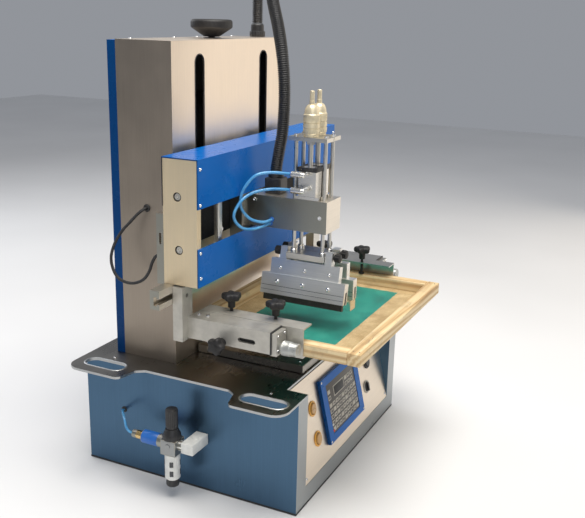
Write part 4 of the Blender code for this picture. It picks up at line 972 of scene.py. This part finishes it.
def arm_trim():
    for word, side in SIDES:
        body = word + "_arm"
        near, far = sorted((side * 0.2551, side * 0.3009))
        Shape().box((near, -0.1992, 0.3366), (far, -0.197, 0.3816), 0.0004).make(
            word + "_gasket", BLACK, body, "black_rubber")
        shape, hub = Shape(), (side * 0.3005, -0.095, 0.343)
        shape.lathe([(0, 0.001), (0.0085, 0.001), (0.0085, -0.0005), (0, -0.0005)], hub, X * side, 32)
        star(shape, hub, X * side, 0.0178, 0.0044, 0.0165, 0.015)
        shape.lathe([(0, 0.0155), (0.008, 0.0155), (0.008, 0.0005), (0, 0.0005)], hub, X * side, 32)
        shape.make(word + "_side_star", KNOB_BLACK, body, "black_plastic", angle=50)
        # Painted shade: a thin black strip set in each arm's slot.
        shade_span = sorted((side * 0.2932, side * 0.2942))
        Shape().box((shade_span[0], -0.1655, 0.3514), (shade_span[1], -0.1295, 0.3596), 0.0004).make(
            word + "_slot_shade", SHADE_BLACK, body, "black_rubber")
        bolts = Shape()
        for z in (0.345, 0.373):
            bolts.cap_bolt((side * 0.265, -0.2096, z), -Y, 0.0026, 0.0016)
            bolts.cap_bolt((side * 0.292, -0.2096, z), -Y, 0.0026, 0.0016)
        for y in (-0.05, -0.03):
            bolts.cap_bolt((side * 0.278, y, 0.3808), Z, 0.0042, 0.0026)
        bolts.make(word + "_arm_bolts", BRIGHT, body, "steel_part")


clamp_knobs()
adjusters()
arm_trim()


# ---- screen frame and cloth
FX, FY0, FY1, FZ0, FZ1, RAIL = 0.2515, -0.3585, 0.027, 0.3258, 0.351, 0.027


def wooden_frame():
    """Four rails with lapped corners, softened edges, and a split in the front one."""
    seam = 0.00025
    front = Shape().box((-FX, FY0, FZ0), (FX, FY0 + RAIL, FZ1), 0.0018, None, 3)
    rear = Shape().box((-FX, FY1 - RAIL, FZ0), (FX, FY1, FZ1), 0.0018, None, 3)
    front.make("rail_front", WOOD_X, "screen", "wood", ["screen_frame"])
    rear.make("rail_rear", WOOD_X, "screen", "wood", ["screen_frame"])
    for word, side in SIDES:
        low, high = sorted((side * FX, side * (FX - RAIL)))
        Shape().box((low, FY0 + RAIL + seam, FZ0), (high, FY1 - RAIL - seam, FZ1), 0.0018, None, 3).make(
            f"rail_{word}", WOOD_Y, "screen", "wood", ["screen_frame"])
    split = Shape()
    crack = ((-0.196, -0.347), (-0.188, -0.3478), (-0.179, -0.3469), (-0.171, -0.3482), (-0.163, -0.3476))
    for k, (x, y) in enumerate(crack):
        split.box((x, y, FZ1 - 0.0004), (x + 0.0092, y + 0.0006 + 0.0002 * (k % 3), FZ1 + 0.00006), 0)
    for side in (-1, 1):
        for y in (FY0 + RAIL / 2, FY1 - RAIL / 2):
            for dy in (-0.006, 0.006):
                split.lathe([(0, 0.00012), (0.0016, 0.00012), (0.0016, -0.0003), (0, -0.0003)],
                            (side * (FX - RAIL / 2), y + dy, FZ1), Z, 16)
    split.make("frame_marks", DARK_STEEL, "screen", "wood")


def cloth():
    """The stretched cloth, glued under the rails' inner edges."""
    x, y0, y1 = FX - RAIL - 0.0004, FY0 + RAIL + 0.0004, FY1 - RAIL - 0.0004
    bm = bmesh.new()
    bmesh.ops.create_grid(bm, x_segments=48, y_segments=36, size=0.5)
    for v in bm.verts:
        u, w = v.co.x + 0.5, v.co.y + 0.5
        dip = 0.0004 * math.sin(math.pi * u) * math.sin(math.pi * w)
        v.co = Vector((-x + 2 * x * u, y0 + (y1 - y0) * w, 0.327 - dip))
    mesh = bpy.data.meshes.new("cloth")
    bm.to_mesh(mesh)
    bm.free()
    mesh.materials.append(CLOTH)
    mesh.shade_smooth()
    piece = add_object("stretched_cloth", mesh)
    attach(piece, "screen")
    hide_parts("screen_mesh")


wooden_frame()
cloth()


# ---- air filter
def air_filter_trim():
    fx, fy, port = -0.33, 0.003, 0.118
    grip = ribs(20, 0.0011, 0.1575, 0.1905)
    knob = [(0, 0.195), (0.0092, 0.195), (0.0112, 0.1942), (0.0122, 0.1925), (0.0125, 0.19),
            (0.0125, 0.158), (0.0122, 0.156), (0.0118, 0.1545), (0.0112, 0.153), (0, 0.153)]
    Shape().lathe(knob, (fx, fy, 0), Z, 120, grip).make("regulator_grip", BLACK, "regulator_knob",
                                                        "black_plastic", ["regulator_knob"], 30)
    bonnet = [(0.0106, 0.1528), (0.0128, 0.1522), (0.0142, 0.148), (0.0176, 0.1415), (0.0188, 0.135),
              (0.0188, 0.1302), (0.017, 0.13)]
    Shape().lathe(bonnet, (fx, fy, 0), Z, 72, ribs(24, 0.0006, 0.131, 0.141)).make(
        "regulator_bonnet", BLACK, "machine", "black_plastic")
    windows = Shape()
    for turn in (0, 90, 180, 270):
        spot = Matrix.Translation((fx, fy, 0)) @ Matrix.Rotation(math.radians(turn + 25), 4, "Z")
        for z in (0.078, 0.0575):
            windows.box((0.0145, -0.0038, z - 0.0062), (0.01605, 0.0038, z + 0.0062), 0.0014, spot, 3)
    windows.make("bowl_windows", SMOKE, "machine", "black_plastic")
    drain = [(0.0112, 0.0258), (0.0122, 0.0262), (0.0128, 0.0272), (0.0136, 0.03), (0.0134, 0.0345),
             (0.0126, 0.0385), (0.0126, 0.0412), (0.0119, 0.0416)]
    Shape().lathe(drain, (fx, fy, 0), Z, 60, ribs(15, 0.0005, 0.028, 0.036)).make(
        "drain_knob", BLACK, "machine", "black_plastic")
    sleeve = [(0.009, 0.0), (0.0132, 0.0), (0.0138, 0.001), (0.0138, 0.037), (0.013, 0.0385),
              (0.009, 0.039)]
    Shape().lathe(sleeve, (fx, 0.0322, port), Y, 60, ribs(20, 0.001, 0.004, 0.024)).make(
        "inlet_coupling", COUPLING, "machine", "tube")
    fitting = [(0.007, 0.0), (0.0088, 0.0), (0.0088, 0.015), (0.0076, 0.0165), (0.0066, 0.017),
               (0.0066, 0.0235), (0.0056, 0.0248), (0.0028, 0.025)]
    Shape().lathe(fitting, (fx, 0.071, port), Y, 48).make("inlet_fitting", BRASS, "machine",
                                                          "aluminium_part")
    block = Shape().box((fx - 0.009, -0.0505, port - 0.0115), (-0.2806, -0.0225, port + 0.0115), 0.0016,
                        None, 3)
    block.lathe([(0, 0.011), (0.0096, 0.011), (0.0102, 0.01), (0.0102, 0.0), (0, 0)], (fx, -0.0245, port),
                Y, 6)
    block.lathe([(0, 0.002), (0.006, 0.002), (0.007, 0.001), (0.007, -0.001), (0, -0.001)],
                (fx + 0.022, -0.037, port + 0.0115), Z, 32)
    block.make("mount_block", WHITE, "machine", "white_plastic")
    body = Shape().box((fx - 0.0172, fy - 0.0172, 0.0984), (fx + 0.0172, fy + 0.0172, 0.1303), 0.002, None,
                       3)
    body.lathe([(0, 0.002), (0.005, 0.002), (0.0058, 0.0012), (0.0058, -0.001), (0, -0.001)],
               (fx - 0.017, fy, port), -X, 8)
    body.make("regulator_body", FILTER_GREY, "machine", "aluminium_part")
    ring = [(0.0026, -0.0006), (0.0062, -0.0006), (0.0066, 0.0004), (0.006, 0.0018), (0.0034, 0.0026),
            (0.0026, 0.0022)]
    Shape().lathe(ring, (-0.28, 0.156, 0.1356), -X, 32).make("supply_grommet", RUBBER, "machine",
                                                             "black_rubber")


air_filter_trim()


# ---- floor and light
def studio():
    floor = bpy.data.meshes.new("floor")
    bm = bmesh.new()
    bmesh.ops.create_grid(bm, x_segments=1, y_segments=1, size=6)
    bm.to_mesh(floor)
    bm.free()
    look = Look("pale_floor", (0.8, 0.79, 0.78), 0.75)
    look.colour(look.ramp(look.noise(1.5, 2, 0.5), (0.3, 0.78), (0.7, 0.82)))
    floor.materials.append(look.mat)
    sheet = add_object("floor", floor)
    sheet.location = (0, 0, -0.0005)
    world = bpy.data.worlds.new("studio")
    bpy.context.scene.world = world
    world.use_nodes = True
    background = world.node_tree.nodes["Background"].inputs
    background["Color"].default_value = (0.84, 0.88, 0.96, 1)
    background["Strength"].default_value = 0.34
    for name, at, aim, size, power, colour in (
            ("key", (1.9, -1.5, 0.95), (0, 0, 0.45), 3.0, 18, (1.0, 0.88, 0.72)),
            ("top", (-0.3, -0.4, 2.7), (0, 0, 0.3), 2.0, 76, (1.0, 0.96, 0.9)),
            ("fill", (-2.7, -1.9, 1.9), (0, 0, 0.45), 1.8, 16, (0.92, 0.95, 1.0)),
            ("back", (0.6, 2.6, 1.9), (0, 0, 0.45), 2.0, 26, (0.94, 0.96, 1.0))):
        data = bpy.data.lights.new(name, "AREA")
        data.shape = "DISK"
        data.size = size
        data.energy = power
        data.color = colour
        light = add_object(name, data)
        light.location = at
        light.rotation_euler = (Vector(aim) - Vector(at)).to_track_quat("-Z", "Y").to_euler()
        light.visible_camera = False
    bpy.context.scene.view_settings.view_transform = "Standard"


studio()
